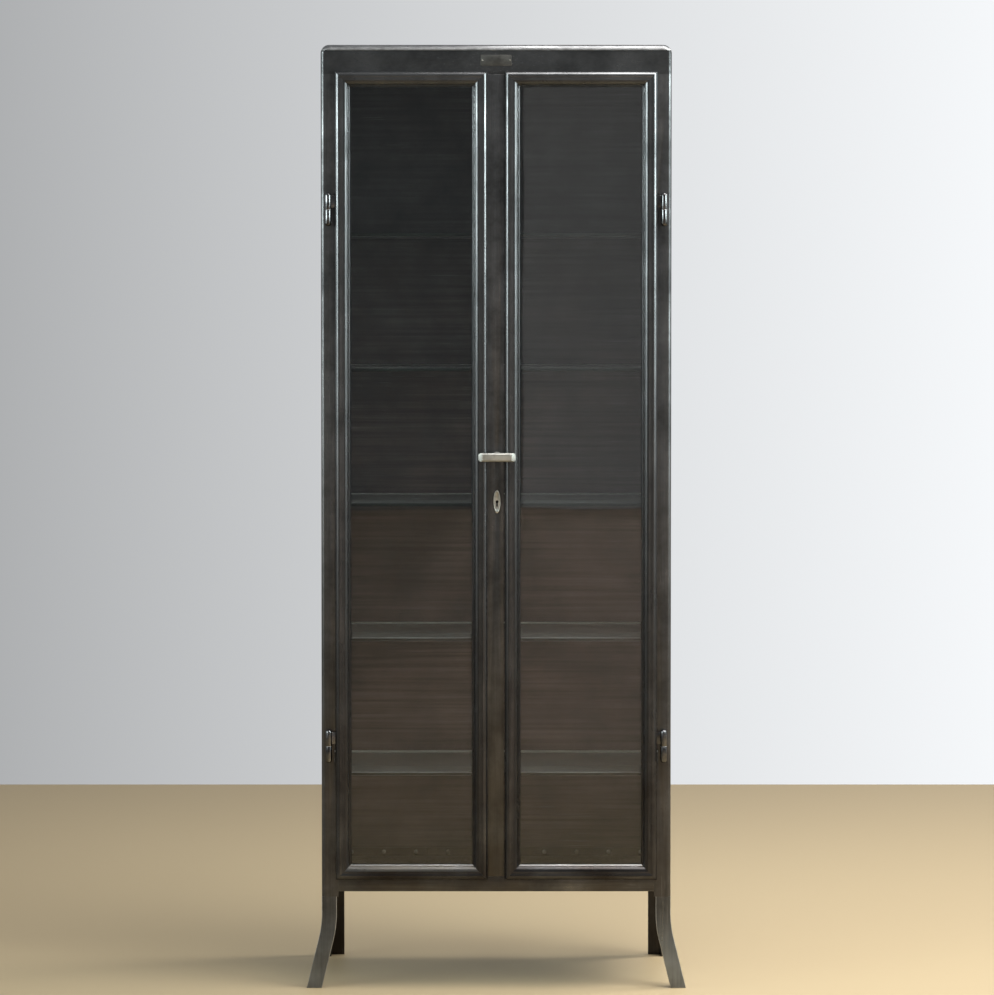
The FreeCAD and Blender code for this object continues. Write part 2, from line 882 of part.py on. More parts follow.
def make_handle():
    body = new_body()
    half = cell["handle_length"] / 2
    rise = cell["handle_height"] / 2
    corner = cell["handle_end_radius"]
    points = [
        (corner - half, -rise),
        (half - corner, -rise),
        (half, corner - rise),
        (half, rise - corner),
        (half - corner, rise),
        (corner - half, rise),
        (-half, rise - corner),
        (-half, corner - rise),
    ]
    arcs = {side: (corner, 1) for side in (1, 3, 5, 7)}
    bar = pad(body, outline(body, "XZ_Plane", points, arcs), cell["handle_thickness"])
    doc.recompute()
    front = -SIZES["handle_thickness"]
    rim = [
        f"Edge{number}"
        for number, edge in enumerate(bar.Shape.Edges, start=1)
        if all(abs(vertex.Y - front) < 1e-6 for vertex in edge.Vertexes)
    ]
    bevel = body.newObject("PartDesign::Chamfer", "bevel")
    bevel.Base = (bar, rim)
    bind(bevel, Size=cell["handle_bevel"])
    back = strip_front - cell["handle_stand"]
    place(body, gear_x, back, gear_z)
    depth = cell["handle_thickness"]
    run = cell["handle_end_run"]
    fall = cell["handle_end_fall"]
    plan = [
        (-half, zero),
        (-half, fall - depth),
        (run - half, -depth),
        (half - run, -depth),
        (half, fall - depth),
        (half, zero),
    ]
    ends = new_body()
    pad(ends, outline(ends, "XY_Plane", plan), cell["handle_height"])
    place(ends, gear_x, back, gear_z - rise)
    bar_with_sloped_ends = common(body, ends)
    rose_face = strip_front - cell["rose_thickness"]
    neck_end = rose_face - cell["neck_gap"]
    neck = crosswise(cell["neck_radius"], gear_x, (back, neck_end), gear_z)
    half_square = cell["spindle_square"] / 2
    x = (gear_x - half_square, gear_x + half_square)
    z = (gear_z - half_square, gear_z + half_square)
    socket = box(x, (neck_end - cell["spindle_socket"], neck_end), z)
    node(cut(fuse(bar_with_sloped_ends, neck), socket), "handle_bar")

    rose = crosswise(cell["rose_radius"], gear_x, (rose_face, strip_front), gear_z)
    overrun = cell["overrun"]
    node(cut(rose, spindle_bore((rose_face - overrun, strip_front + overrun))), "handle_rose")

    square = box(x, (neck_end - cell["spindle_socket"], gear_case_back() - clear), z)
    journal = crosswise(cell["spindle_radius"], gear_x, (neck_end, rod_front), gear_z)
    node(fuse(square, journal), "handle_spindle")


def gear_case_back():
    """Inner face of the gear case's rear wall."""
    return strip_back + cell["gear_case_depth"] - cell["case_wall"]


def make_pinion():
    """Involute teeth come from a formula, so this piece is a plain shape made from the named sizes."""
    teeth = int(SIZES["gear_teeth"])
    pitch = pitch_radius.value
    base = pitch * math.cos(math.radians(SIZES["pressure_angle"]))
    tip = pitch + SIZES["gear_addendum"]
    foot = pitch - SIZES["gear_dedendum"]
    flank_steps = 5

    def involute(radius):
        slope = math.acos(min(base / radius, 1))
        return math.tan(slope) - slope

    half_tooth = math.pi / (2 * teeth) + involute(pitch)
    flank = [(foot, half_tooth)]
    for step in range(flank_steps + 1):
        radius = base + (tip - base) * step / flank_steps
        flank.append((radius, half_tooth - involute(radius)))
    points = []
    for tooth in range(teeth):
        middle = 2 * math.pi * tooth / teeth
        points += [(radius, middle - angle) for radius, angle in flank]
        points += [(radius, middle + angle) for radius, angle in flank[::-1]]
    corners = [
        FreeCAD.Vector(radius * math.cos(angle), 0, radius * math.sin(angle)) for radius, angle in points
    ]
    profile = Part.Face(Part.makePolygon(corners + corners[:1]))
    wheel = profile.extrude(FreeCAD.Vector(0, SIZES["rod_depth"], 0))
    square = SIZES["spindle_square"]
    hub = Part.makeBox(square, SIZES["rod_depth"], square, FreeCAD.Vector(-square / 2, 0, -square / 2))
    piece = doc.addObject("Part::Feature", "pinion")
    piece.Shape = wheel.cut(hub)
    node(place(piece, gear_x, rod_front, gear_z), "rod_pinion")


def make_rod(label, way, end):
    """way is -1 for the rod left of the gear, which runs up, and +1 for the right one, which runs down."""
    body = new_body()
    slope = tangent(cell["pressure_angle"])
    at_pitch = tooth_pitch / 4 + cell["rack_backlash"] / 2
    mouth = at_pitch + cell["rack_addendum"] * slope
    root_half = at_pitch - cell["rack_dedendum"] * slope
    tail = -cell["rod_tail"]
    points = [(rack_tip * way, tail)]
    gaps = range(-int(SIZES["rack_gaps_beyond"]), int(SIZES["rack_gaps_behind"]) + 1)
    for gap in gaps:
        middle = tooth_pitch * gap
        points += [
            (rack_tip * way, middle - mouth),
            (rack_root * way, middle - root_half),
            (rack_root * way, middle + root_half),
            (rack_tip * way, middle + mouth),
        ]
    points += [(rack_tip * way, end), (rod_outer * way, end), (rod_outer * way, tail)]
    if way > 0:
        points = [(x, -z) for x, z in points]
    pad(body, outline(body, "XZ_Plane", points), cell["rod_depth"], backwards=True)
    node(place(body, gear_x, rod_front, gear_z), label)


def rod_hole(way, z):
    """Clearance hole for one rod, through a flange, a keep, a guide or a case wall."""
    near = gear_x + rack_tip * way
    far = gear_x + rod_outer * way
    x = (far - clear, near + clear) if way < 0 else (near - clear, far + clear)
    return box(x, (rod_front - clear, rod_rear + clear), z)


def make_rods():
    make_rod("upper_rod", -1, strip_top - cell["rod_end_gap"] - gear_z)
    make_rod("lower_rod", 1, gear_z - strip_base - cell["rod_end_gap"])
    overrun = cell["overrun"]
    skin = cell["guide_wall"]
    tall = cell["guide_height"]
    inset = cell["guide_end_inset"]
    reach = cell["guide_gear_reach"]
    heights = [
        (strip_top - inset - tall, -1),
        (gear_z + reach, -1),
        (gear_z - reach - tall, 1),
        (strip_base + inset, 1),
    ]
    guides = []
    for foot, way in heights:
        near = gear_x + rack_tip * way
        far = gear_x + rod_outer * way
        margin = clear + skin
        x = (far - margin, near + margin) if way < 0 else (near - margin, far + margin)
        z = (foot, foot + tall)
        loop = box(x, (strip_back, rod_rear + clear + skin), z)
        guides.append(cut(loop, rod_hole(way, (z[0] - overrun, z[1] + overrun))))
    node(group(guides), "rod_guides")
    half_keep = cell["keep_width"] / 2
    keep_y = (front_face + wall, front_face + cell["rod_flange_depth"])
    upper_z = (cap_base + wall, cap_base + wall + cell["keep_sheet"])
    lower_z = (opening_base - wall - cell["keep_sheet"], opening_base - wall)
    keeps = []
    for way, z in ((-1, upper_z), (1, lower_z)):
        middle = gear_x + (rack_tip + rod_outer) / 2 * way
        plate = box((middle - half_keep, middle + half_keep), keep_y, z)
        keeps.append(cut(plate, rod_hole(way, (z[0] - overrun, z[1] + overrun))))
    node(group(keeps), "rod_keeps")


def make_gear_case():
    overrun = cell["overrun"]
    skin = cell["case_wall"]
    half = cell["gear_case_height"] / 2
    reach = rod_outer + clear
    inner_x = (gear_x - reach, gear_x + reach)
    inner_y = (strip_back - overrun, gear_case_back())
    inner_z = (gear_z - half + skin, gear_z + half - skin)
    shell = cut(
        box(
            (inner_x[0] - skin, inner_x[1] + skin),
            (strip_back, gear_case_back() + skin),
            (gear_z - half, gear_z + half),
        ),
        box(inner_x, inner_y, inner_z),
    )
    above = rod_hole(-1, (gear_z, gear_z + half + overrun))
    below = rod_hole(1, (gear_z - half - overrun, gear_z))
    node(cut(shell, above, below), "gear_case")


def make_lock():
    overrun = cell["overrun"]
    skin = cell["case_wall"]
    middle = lock_z
    x = (-cell["lock_case_left"], cell["lock_case_right"])
    z = (middle - cell["lock_below"], middle + cell["lock_above"])
    back = strip_back + cell["lock_case_depth"]
    shell = cut(
        box(x, (strip_back, back), z),
        box((x[0] + skin, x[1] - skin), (strip_back - overrun, back - skin), (z[0] + skin, z[1] - skin)),
    )
    passage = rod_hole(1, (z[0] - overrun, z[1] + overrun))
    half_bolt = cell["bolt_height"] / 2
    bolt_y = (strip_back + cell["bolt_setback"], strip_back + cell["bolt_setback"] + cell["bolt_depth"])
    bolt_z = (middle - half_bolt, middle + half_bolt)
    slot_y = (bolt_y[0] - clear, bolt_y[1] + clear)
    slot_z = (bolt_z[0] - clear, bolt_z[1] + clear)
    mouth = box((x[1] - skin - overrun / 2, x[1] + overrun), slot_y, slot_z)
    node(cut(shell, passage, mouth), "lock_case")

    half_talon = cell["bolt_talon"] / 2
    bolt = box((-cell["bolt_tail"], x[1]), bolt_y, bolt_z)
    talon_x = (gear_x - half_talon, gear_x + half_talon)
    talon = box(talon_x, slot_y, (bolt_z[0] - overrun, bolt_z[0] + half_talon))
    node(cut(bolt, talon), "lock_bolt")

    strike_x = x[1] + cell["strike_gap"]
    half_strike = cell["strike_height"] / 2
    strike_z = (middle - half_strike, middle + half_strike)
    sheet_gauge = cell["strike_sheet"]
    leg = box((strike_x, strike_x + sheet_gauge), (door_back, back), strike_z)
    foot = box((strike_x, strike_x + cell["strike_foot"]), (door_back, door_back + sheet_gauge), strike_z)
    opening = box((strike_x - overrun / 2, strike_x + overrun), slot_y, slot_z)
    node(cut(fuse(leg, foot), opening), "bolt_strike")


# Bare plate on the header

def make_plate():
    half = cell["plate_width"] / 2
    rise = cell["plate_height"] / 2
    middle = cell["cabinet_height"] - cell["plate_centre_drop"]
    face = front_face - cell["plate_sheet"]
    node(box((-half, half), (face, front_face), (middle - rise, middle + rise)), "bare_plate")
    reach = half - cell["plate_rivet_inset"]
    y = (face - cell["plate_rivet_head"], face)
    heads = [crosswise(cell["plate_rivet_radius"], reach * way, y, middle) for way in (-1, 1)]
    node(group(heads), "bare_plate_rivets")


def check_and_write():
    doc.recompute()
    for thing in doc.Objects:
        faults = [state for state in thing.State if state in ("Invalid", "Error")]
        if faults:
            raise RuntimeError(f"{thing.Name} ({thing.Label}) is {faults}")
    for thing in nodes:
        if thing.Shape.isNull() or not thing.Shape.isValid() or not thing.Shape.Solids:
            raise RuntimeError(f"{thing.Label} has no valid solid")
    os.makedirs("parts", exist_ok=True)
    for thing in nodes:
        thing.Shape.exportStep(f"parts/{thing.Label}.step")
        box_now = thing.Shape.BoundBox
        lengths = (box_now.XLength, box_now.YLength, box_now.ZLength)
        extents = " x ".join(f"{length:.1f}" for length in lengths)
        print(f"{thing.Label}: {len(thing.Shape.Solids)} solids, {extents}")
    print(len(nodes), "nodes")


make_cap()
make_posts()
make_panels()
make_sill()
make_floor()
make_back_rivets()
make_legs()
make_shelves()
for door_side, door_name in ((-1, "left_door"), (1, "right_door")):
    make_door_frame(door_side, door_name)
    make_door_glazing(door_side, door_name)
make_hinges()
make_strip()
make_escutcheon()
make_handle()
make_pinion()
make_rods()
make_gear_case()
make_lock()
make_plate()
check_and_write()
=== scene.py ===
# %% [markdown]
# # A glazed steel medicine cabinet
# The solids of the cabinet come from a finished CAD model, in metres. This lesson dresses them: pressed
# door mouldings, worn edges, blackened steel, old glass and nickel fittings. The frame is loaded first,
# because every piece below takes its place from a solid of that frame.

# %% Load the frame
import json
import math

import bmesh
import bpy
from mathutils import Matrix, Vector

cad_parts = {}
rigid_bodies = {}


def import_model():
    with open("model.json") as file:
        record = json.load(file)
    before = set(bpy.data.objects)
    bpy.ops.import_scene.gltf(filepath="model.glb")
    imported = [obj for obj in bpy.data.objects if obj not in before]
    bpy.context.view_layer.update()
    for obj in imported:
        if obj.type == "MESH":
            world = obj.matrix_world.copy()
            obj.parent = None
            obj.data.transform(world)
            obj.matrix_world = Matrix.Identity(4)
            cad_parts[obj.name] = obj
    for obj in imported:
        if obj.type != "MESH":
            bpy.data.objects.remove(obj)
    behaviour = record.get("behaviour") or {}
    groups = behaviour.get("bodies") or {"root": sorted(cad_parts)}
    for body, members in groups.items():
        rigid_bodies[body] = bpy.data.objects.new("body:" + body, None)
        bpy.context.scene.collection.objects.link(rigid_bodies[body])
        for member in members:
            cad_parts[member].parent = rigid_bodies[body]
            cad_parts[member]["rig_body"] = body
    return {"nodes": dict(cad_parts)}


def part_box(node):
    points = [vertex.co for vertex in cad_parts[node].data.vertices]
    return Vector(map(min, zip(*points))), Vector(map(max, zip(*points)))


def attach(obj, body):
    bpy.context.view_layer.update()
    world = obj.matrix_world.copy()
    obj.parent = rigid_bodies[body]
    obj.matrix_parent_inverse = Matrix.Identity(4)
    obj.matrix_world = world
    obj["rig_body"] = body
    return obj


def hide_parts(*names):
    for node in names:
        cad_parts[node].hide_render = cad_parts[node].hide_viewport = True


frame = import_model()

MM = 0.001
scene = bpy.context.scene
nodes = frame["nodes"]
body_of = {name: thing["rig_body"] for name, thing in nodes.items()}
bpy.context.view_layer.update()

# %% [markdown]
# ## The camera
# The cabinet was seen almost square on, from seven metres, a little below its top. A long lens keeps the
# uprights nearly parallel. The camera looks down by two degrees only, and a small shift of the lens does
# the rest, because tipping the camera further would make the uprights lean.

# %% Camera
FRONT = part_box("left_front_post")[0].y
CAMERA_DISTANCE = 7.087
CAMERA_HEIGHT = 1.326
CAMERA_DIP = 2.0
camera_data = bpy.data.cameras.new("camera")
camera_data.lens = 137.9
camera_data.sensor_width = 36.0
camera_data.shift_x = 0.0008
camera_data.shift_y = -0.0861
camera_data.clip_end = 60.0
camera = bpy.data.objects.new("camera", camera_data)
camera.location = (0.0, FRONT - CAMERA_DISTANCE, CAMERA_HEIGHT)
camera.rotation_euler = (math.radians(90 - CAMERA_DIP), 0.0, 0.0)
scene.collection.objects.link(camera)
scene.camera = camera
print("camera", tuple(round(value, 3) for value in camera.location))

# %% [markdown]
# ## The floor
# The cabinet stands on a plain pale floor, one flat sheet that ends some way behind it.

# %% Floor
FLOOR_START, FLOOR_END, FLOOR_SIDE = -15.0, 2.71, 9.0


def plain_material(name, colour, roughness):
    material = bpy.data.materials.new(name)
    material.use_nodes = True
    shader = material.node_tree.nodes["Principled BSDF"]
    shader.inputs["Base Color"].default_value = (*colour, 1.0)
    shader.inputs["Roughness"].default_value = roughness
    shader.inputs["Specular IOR Level"].default_value = 0.2
    return material


def stage_sheet(name, corners, material):
    mesh = bpy.data.meshes.new(name)
    mesh.from_pydata(corners, [], [(0, 1, 2, 3)])
    mesh.materials.append(material)
    sheet = bpy.data.objects.new(name, mesh)
    scene.collection.objects.link(sheet)


floor_paint = plain_material("pale_floor", (0.445, 0.345, 0.205), 0.55)
near_corners = [(-FLOOR_SIDE, FLOOR_START, 0), (FLOOR_SIDE, FLOOR_START, 0)]
far_corners = [(FLOOR_SIDE, FLOOR_END, 0), (-FLOOR_SIDE, FLOOR_END, 0)]
stage_sheet("floor", near_corners + far_corners, floor_paint)
print("floor up to", FLOOR_END)

# %% [markdown]
# ## Soft light
# Dark metal is seen by what it reflects, so the lamps are large soft panels. Three tiers of them stand on
# each side, bright at the top and weak near the floor, which makes the bright lines on the mouldings fade
# downwards. Panels overhead light the top and the floor. One far in front lights only the floor there,
# because the lower panes mirror it.

# %% Lights
def soft_panel(name, place, aim, size, power, colour, spread=180):
    light = bpy.data.lights.new(name, "AREA")
    light.shape = "RECTANGLE"
    light.size, light.size_y = size
    light.energy = power
    light.spread = math.radians(spread)
    light.color = colour
    lamp = bpy.data.objects.new(name, light)
    lamp.location = place
    lamp.rotation_euler = (Vector(aim) - Vector(place)).to_track_quat("-Z", "Y").to_euler()
    scene.collection.objects.link(lamp)


COOL = (0.84, 0.96, 0.96)
WARM = (1.0, 0.95, 0.88)
NEUTRAL = (1.0, 0.98, 0.96)
SKY = (0.74, 0.73, 1.0)
SIDE_REACH, SIDE_FORWARD, SIDE_WIDTH = 3.1, -1.9, 2.1
tiers = (("high", 1.95, 1.0, COOL), ("middle", 1.225, 0.45, COOL), ("low", 0.8, 0.4, WARM))
for side, way, powers in (("left", -1, (27.0, 3.0, 0.8)), ("right", 1, (31.0, 2.9, 0.6))):
    for (tier, height, tall, colour), power in zip(tiers, powers):
        place = (SIDE_REACH * way, SIDE_FORWARD, height)
        soft_panel(f"{side}_{tier}_panel", place, (0, 0, height), (SIDE_WIDTH, tall), power, colour, 90)
    place = (3.4 * way, -0.1, 1.7)
    soft_panel(f"{side}_flank_panel", place, (0, -0.1, 1.5), (1.6, 1.4), 2.8, COOL, 90)
soft_panel("ceiling_panel", (1.25, -0.75, 3.5), (1.25, -0.75, 0.0), (2.4, 1.5), 62, NEUTRAL, 120)
soft_panel("front_ceiling_panel", (1.3, -2.4, 3.4), (1.3, -2.4, 0.0), (2.4, 1.6), 22, NEUTRAL, 120)
soft_panel("front_floor_panel", (1.6, -9.0, 2.6), (1.6, -9.0, 0.0), (3.0, 12.0), 258, SKY, 90)
soft_panel("rear_floor_panel", (3.0, 0.9, 3.2), (2.4, FLOOR_END, 0.0), (2.4, 1.2), 135, NEUTRAL)
soft_panel("far_panel", (1.4, -14.2, 1.4), (1.4, 0, 1.4), (2.5, 2.7), 7.2, NEUTRAL)

# %% [markdown]
# ## Helpers for node trees
# The backdrop, the finishes and the rivets are all node trees. Wiring nodes by hand takes three lines each,
# so three short helpers do it: one adds a node and fills its sockets, one maps a value from one range onto
# another, and one does arithmetic.

# %% Node helpers
def add(tree, kind, values=None, **settings):
    """Adds a node, sets its properties, then its sockets by name or number."""
    node = tree.nodes.new(kind)
    for name, setting in settings.items():
        setattr(node, name, setting)
    for socket, value in (values or {}).items():
        if isinstance(value, bpy.types.NodeSocket):
            tree.links.new(value, node.inputs[socket])
        else:
            node.inputs[socket].default_value = value
    return node


def between(tree, value, low, high, start=0.0, end=1.0):
    """Maps value from low..high onto start..end, held at both ends."""
    values = {"Value": value, "From Min": low, "From Max": high, "To Min": start, "To Max": end}
    return add(tree, "ShaderNodeMapRange", values).outputs["Result"]


def combine(tree, operation, first, second):
    return add(tree, "ShaderNodeMath", {0: first, 1: second}, operation=operation).outputs[0]


print("helpers ready")

# %% [markdown]
# ## A pale backdrop in the world
# The backdrop could be a sheet, but a sheet would hide the cabinet from behind. Here it is part of the
# world: rays that run away behind the cabinet meet a pale shade that brightens from left to right. Only
# rays from the camera, from gloss and through glass see it. All other rays see a dim even room, so the
# backdrop adds no light.

# %% World
world = bpy.data.worlds.new("room")
scene.world = world
world.use_nodes = True
room = world.node_tree
sky = room.nodes["Background"]
sky.inputs["Color"].default_value = (0.96, 0.98, 1.0, 1.0)
towards = add(room, "ShaderNodeTexCoord").outputs["Generated"]
heading = add(room, "ShaderNodeSeparateXYZ", {0: towards}).outputs
room_level = between(room, heading["Y"], -0.95, -0.5, 0.17, 0.34)
backdrop_level = between(room, heading["X"], -0.14, 0.14, 0.42, 0.98)
behind = between(room, heading["Y"], 0.55, 0.85)
ray = add(room, "ShaderNodeLightPath").outputs
seen = combine(room, "MAXIMUM", ray["Is Camera Ray"], ray["Is Glossy Ray"])
seen = combine(room, "MAXIMUM", seen, ray["Is Transmission Ray"])
shown = combine(room, "MULTIPLY", behind, seen)
level = add(room, "ShaderNodeMix", {"Factor": shown, "A": room_level, "B": backdrop_level}).outputs["Result"]
room.links.new(level, sky.inputs["Strength"])
scene.view_settings.view_transform = "Standard"
print("world", world.name)

# %% [markdown]
# ## Blackened steel
# The sheet was stripped of paint, darkened and waxed. Up close it is cloudy, with a faint drawn grain,
# pin-prick pits and a few bright scratches, and it turns browner towards the floor. Each of these is one
# noise pattern on Object coordinates, so the finish has real scale and needs no picture. The grain is the
# same noise squeezed in two directions, and a Bump node lets grain and pits break up the reflections.

# %% Helpers for finishes
def new_finish(name):
    material = bpy.data.materials.new(name)
    material.use_nodes = True
    tree = material.node_tree
    shader = tree.nodes["Principled BSDF"]
    place = add(tree, "ShaderNodeTexCoord").outputs["Object"]
    return material, tree, shader, place


def clouds(tree, place, scale, detail=5.0, stretch=(1, 1, 1), roughness=0.6):
    """A noise pattern. stretch squeezes it along each axis, which turns clouds into grain."""
    spot = add(tree, "ShaderNodeMapping", {"Vector": place, "Scale": stretch}).outputs["Vector"]
    values = {"Vector": spot, "Scale": scale, "Detail": detail, "Roughness": roughness}
    return add(tree, "ShaderNodeTexNoise", values).outputs["Fac"]


def mix_colour(tree, share, first, second):
    node = tree.nodes.new("ShaderNodeMix")
    node.data_type = "RGBA"
    for socket, value in ((node.inputs["Factor"], share), (node.inputs[6], first), (node.inputs[7], second)):
        if isinstance(value, bpy.types.NodeSocket):
            tree.links.new(value, socket)
        else:
            socket.default_value = value if isinstance(value, float) else (*value, 1.0)
    return node.outputs[2]


def dent(tree, shader, height, strength, depth):
    bump = add(tree, "ShaderNodeBump", {"Height": height, "Strength": strength, "Distance": depth})
    tree.links.new(bump.outputs["Normal"], shader.inputs["Normal"])


print("finish helpers ready")

# %% The steel itself
UMBER = (0.068, 0.058, 0.048)
STREAK_BLACK = (0.02, 0.02, 0.021)
PAINTED_SHADE_BLACK = (0.02, 0.019, 0.018)
SCRATCH_GREY = (0.30, 0.30, 0.31)
FOOT_FADE = 8 * MM


def steel_colour(tree, place, grain, cloud, drawn, look):
    """Cloudy steel with streaks, another tone towards the floor (brown on most steels, a painted highlight
    or sheen on the legs and bottom rails), black painted shade below the foot line, and a few scratches.
    """
    dark, pale = look["dark"], look["pale"]
    shade, light = (dark, dark * 1.02, dark * 1.06), (pale, pale * 1.01, pale * 1.03)
    tone = mix_colour(tree, between(tree, cloud, 0.34, 0.68), shade, light)
    streaks = between(tree, drawn, 0.3, 0.7, 0.0, look["streak"])
    tone = mix_colour(tree, streaks, tone, STREAK_BLACK)
    height = add(tree, "ShaderNodeSeparateXYZ", {0: place}).outputs["Z"]
    low = between(tree, height, look["warm_height"], look["full_height"])
    patches = between(tree, clouds(tree, place, 9.0, 4.0), 0.3, 0.7, 0.25, 1.0)
    umber = mix_colour(tree, streaks, look["brown"], tuple(value * 0.4 for value in look["brown"]))
    tone = mix_colour(tree, combine(tree, "MULTIPLY", low, patches), tone, umber)
    # Below the foot line the tone turns black: painted shade along the bottom of the back panel.
    if look["foot"] > 0:
        painted_shade_share = between(tree, height, look["foot"], look["foot"] - FOOT_FADE)
        tone = mix_colour(tree, painted_shade_share, tone, PAINTED_SHADE_BLACK)
    scratch_stretch = tuple(value * 3.0 for value in grain)
    scratch = between(tree, clouds(tree, place, 1.0, 1.0, scratch_stretch), 0.70, 0.74)
    scuffs = between(tree, clouds(tree, place, 3.0), 0.5, 0.66, 0.0, 0.5)
    return mix_colour(tree, combine(tree, "MULTIPLY", scratch, scuffs), tone, SCRATCH_GREY)


PLAIN_LOOK = {
    "dark": 0.055,
    "pale": 0.19,
    "shine": 0.34,
    "brown": UMBER,
    "streak": 0.45,
    "warm_height": 1.1,
    "full_height": 0.25,
    "foot": 0.0,
}


def blackened_steel(name, grain, **changes):
    """grain holds three numbers: a small one lies along the grain, large ones across it."""
    look = {**PLAIN_LOOK, **changes}
    material, tree, shader, place = new_finish(name)
    cloud = clouds(tree, place, 11.0, 8.0, roughness=0.68)
    drawn = clouds(tree, place, 1.0, 4.0, grain)
    pits = clouds(tree, place, 260.0, 2.0)
    tone = steel_colour(tree, place, grain, cloud, drawn, look)
    tree.links.new(tone, shader.inputs["Base Color"])
    brushed = between(tree, drawn, 0.3, 0.7, look["shine"] - 0.07, look["shine"] + 0.09)
    rough = combine(tree, "ADD", brushed, between(tree, cloud, 0.35, 0.7, 0.05, -0.06))
    tree.links.new(rough, shader.inputs["Roughness"])
    shader.inputs["Metallic"].default_value = 0.85
    relief = combine(tree, "ADD", drawn, combine(tree, "MULTIPLY", pits, 0.5))
    dent(tree, shader, relief, 0.16, 0.6 * MM)
    return material


print("plain look:", PLAIN_LOOK)

# %% [markdown]
# ## One steel, many places
# The same steel looks different where it was drawn or rubbed, and where light or shade is painted. Each
# place
# changes a few values of the plain look: beads are smoother and the doors' inner rounds duller. A painted
# highlight or sheen makes the bottom rails' glass beads, the left door's bottom inner round and the front
# legs' feet paler; painted shade makes the rear legs' fronts, the floor panel and the top rails' glass beads
# nearly black. Inside, the back is brown with strong streaks and darker as painted shade, and black as
# painted shade along the flange that carries its rivets.

# %% Steel finishes
UPRIGHT_GRAIN = (160.0, 160.0, 5.0)
LEVEL_GRAIN = (5.0, 160.0, 160.0)
HEADER_GRAIN = (60.0, 160.0, 160.0)
INSIDE_GRAIN = (2.5, 90.0, 170.0)
DEEP_BROWN = (0.026, 0.020, 0.017)
BEAD_LOOK = {"dark": 0.07, "pale": 0.16, "shine": 0.23, "brown": DEEP_BROWN}
INNER_LOOK = {"dark": 0.045, "pale": 0.095, "shine": 0.26, "brown": DEEP_BROWN}
# Pale steel for the bottom rails' glass bead: a painted highlight.
LIP_HIGHLIGHT_LOOK = {"dark": 0.30, "pale": 0.60, "shine": 0.30, "brown": (0.42, 0.41, 0.40), "streak": 0.25}
# Paler steel for the left door's bottom inner round, which faces up: a painted sheen.
ROUND_SHEEN_LOOK = {"dark": 0.08, "pale": 0.19, "shine": 0.30, "brown": (0.145, 0.132, 0.112), "streak": 0.3}
# Near-black steel as painted shade: the rear legs' fronts, the floor panel and the top rails' glass beads.
PAINTED_SHADE_LOOK = {"dark": 0.03, "pale": 0.08, "shine": 0.36, "brown": (0.042, 0.032, 0.025)}
# The front legs' low tone is a pale bluish painted sheen that brightens them towards the foot.
LEG_SHEEN_LOOK = {"dark": 0.06, "pale": 0.14, "shine": 0.32, "brown": (0.255, 0.285, 0.325)}
# Inside steel: brown and streaked, and set darker than outside as painted shade within the cabinet.
INSIDE_LOOK = {"dark": 0.022, "pale": 0.07, "shine": 0.5, "brown": (0.220, 0.152, 0.129), "streak": 0.85}
# The painted shade along the foot of the back panel reaches up to here, just above its rivets.
FLANGE_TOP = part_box("back_panel_rivets")[1].z + 10 * MM

steel_upright = blackened_steel("blackened_steel_upright", UPRIGHT_GRAIN)
steel_level = blackened_steel("blackened_steel_level", LEVEL_GRAIN)
header_steel = blackened_steel("blackened_steel_header", HEADER_GRAIN, dark=0.031, pale=0.122)
bead_upright = blackened_steel("polished_bead_upright", UPRIGHT_GRAIN, **BEAD_LOOK)
bead_level = blackened_steel("polished_bead_level", LEVEL_GRAIN, **BEAD_LOOK)
inner_upright = blackened_steel("dull_inner_round_upright", UPRIGHT_GRAIN, **INNER_LOOK)
inner_level = blackened_steel("dull_inner_round_level", LEVEL_GRAIN, **INNER_LOOK)
lip_painted_highlight = blackened_steel("lip_painted_highlight", LEVEL_GRAIN, **LIP_HIGHLIGHT_LOOK)
round_painted_sheen = blackened_steel("inner_round_painted_sheen", LEVEL_GRAIN, **ROUND_SHEEN_LOOK)
painted_shade_steel = blackened_steel("blackened_steel_painted_shade", UPRIGHT_GRAIN, **PAINTED_SHADE_LOOK)
# Paler steel for the upward faces of the top roll: a painted sheen.
roll_painted_sheen = blackened_steel("roll_top_painted_sheen", LEVEL_GRAIN, dark=0.10, pale=0.30, shine=0.30)
# Towards the foot the front legs turn pale and bluish: a painted sheen.
leg_steel = blackened_steel(
    "blackened_steel_legs_foot_sheen", UPRIGHT_GRAIN, **LEG_SHEEN_LOOK, warm_height=0.15, full_height=0.05
)
# The inside is set dark as painted shade within the cabinet; below 1.45 m it turns paler and browner.
steel_inside = blackened_steel(
    "blackened_steel_inside_painted_shade", INSIDE_GRAIN, **INSIDE_LOOK, warm_height=1.45, foot=FLANGE_TOP
)
print("steel:", steel_upright.name, steel_level.name, steel_inside.name)

# %% [markdown]
# ## Rubbed edges and nickel
# Hands and polish wear the dark skin off every edge, and a thin line of grey steel shows. That line gets a
# finish of its own, broken by noise so it comes and goes. The fittings are satin nickel with a yellow cast
# in the recesses. The same brushed finish, with other colours, gives the hinges' turned steel, the plate,
# plain steel and the brass gear.

# %% Edge, nickel and plain steel finishes
def rubbed_edge():
    material, tree, shader, place = new_finish("rubbed_edge")
    worn = between(tree, clouds(tree, place, 22.0, 6.0), 0.40, 0.62)
    tone = mix_colour(tree, worn, (0.07, 0.07, 0.072), (0.34, 0.34, 0.345))
    tree.links.new(tone, shader.inputs["Base Color"])
    tree.links.new(between(tree, worn, 0.0, 1.0, 0.42, 0.27), shader.inputs["Roughness"])
    shader.inputs["Metallic"].default_value = 0.95
    return material


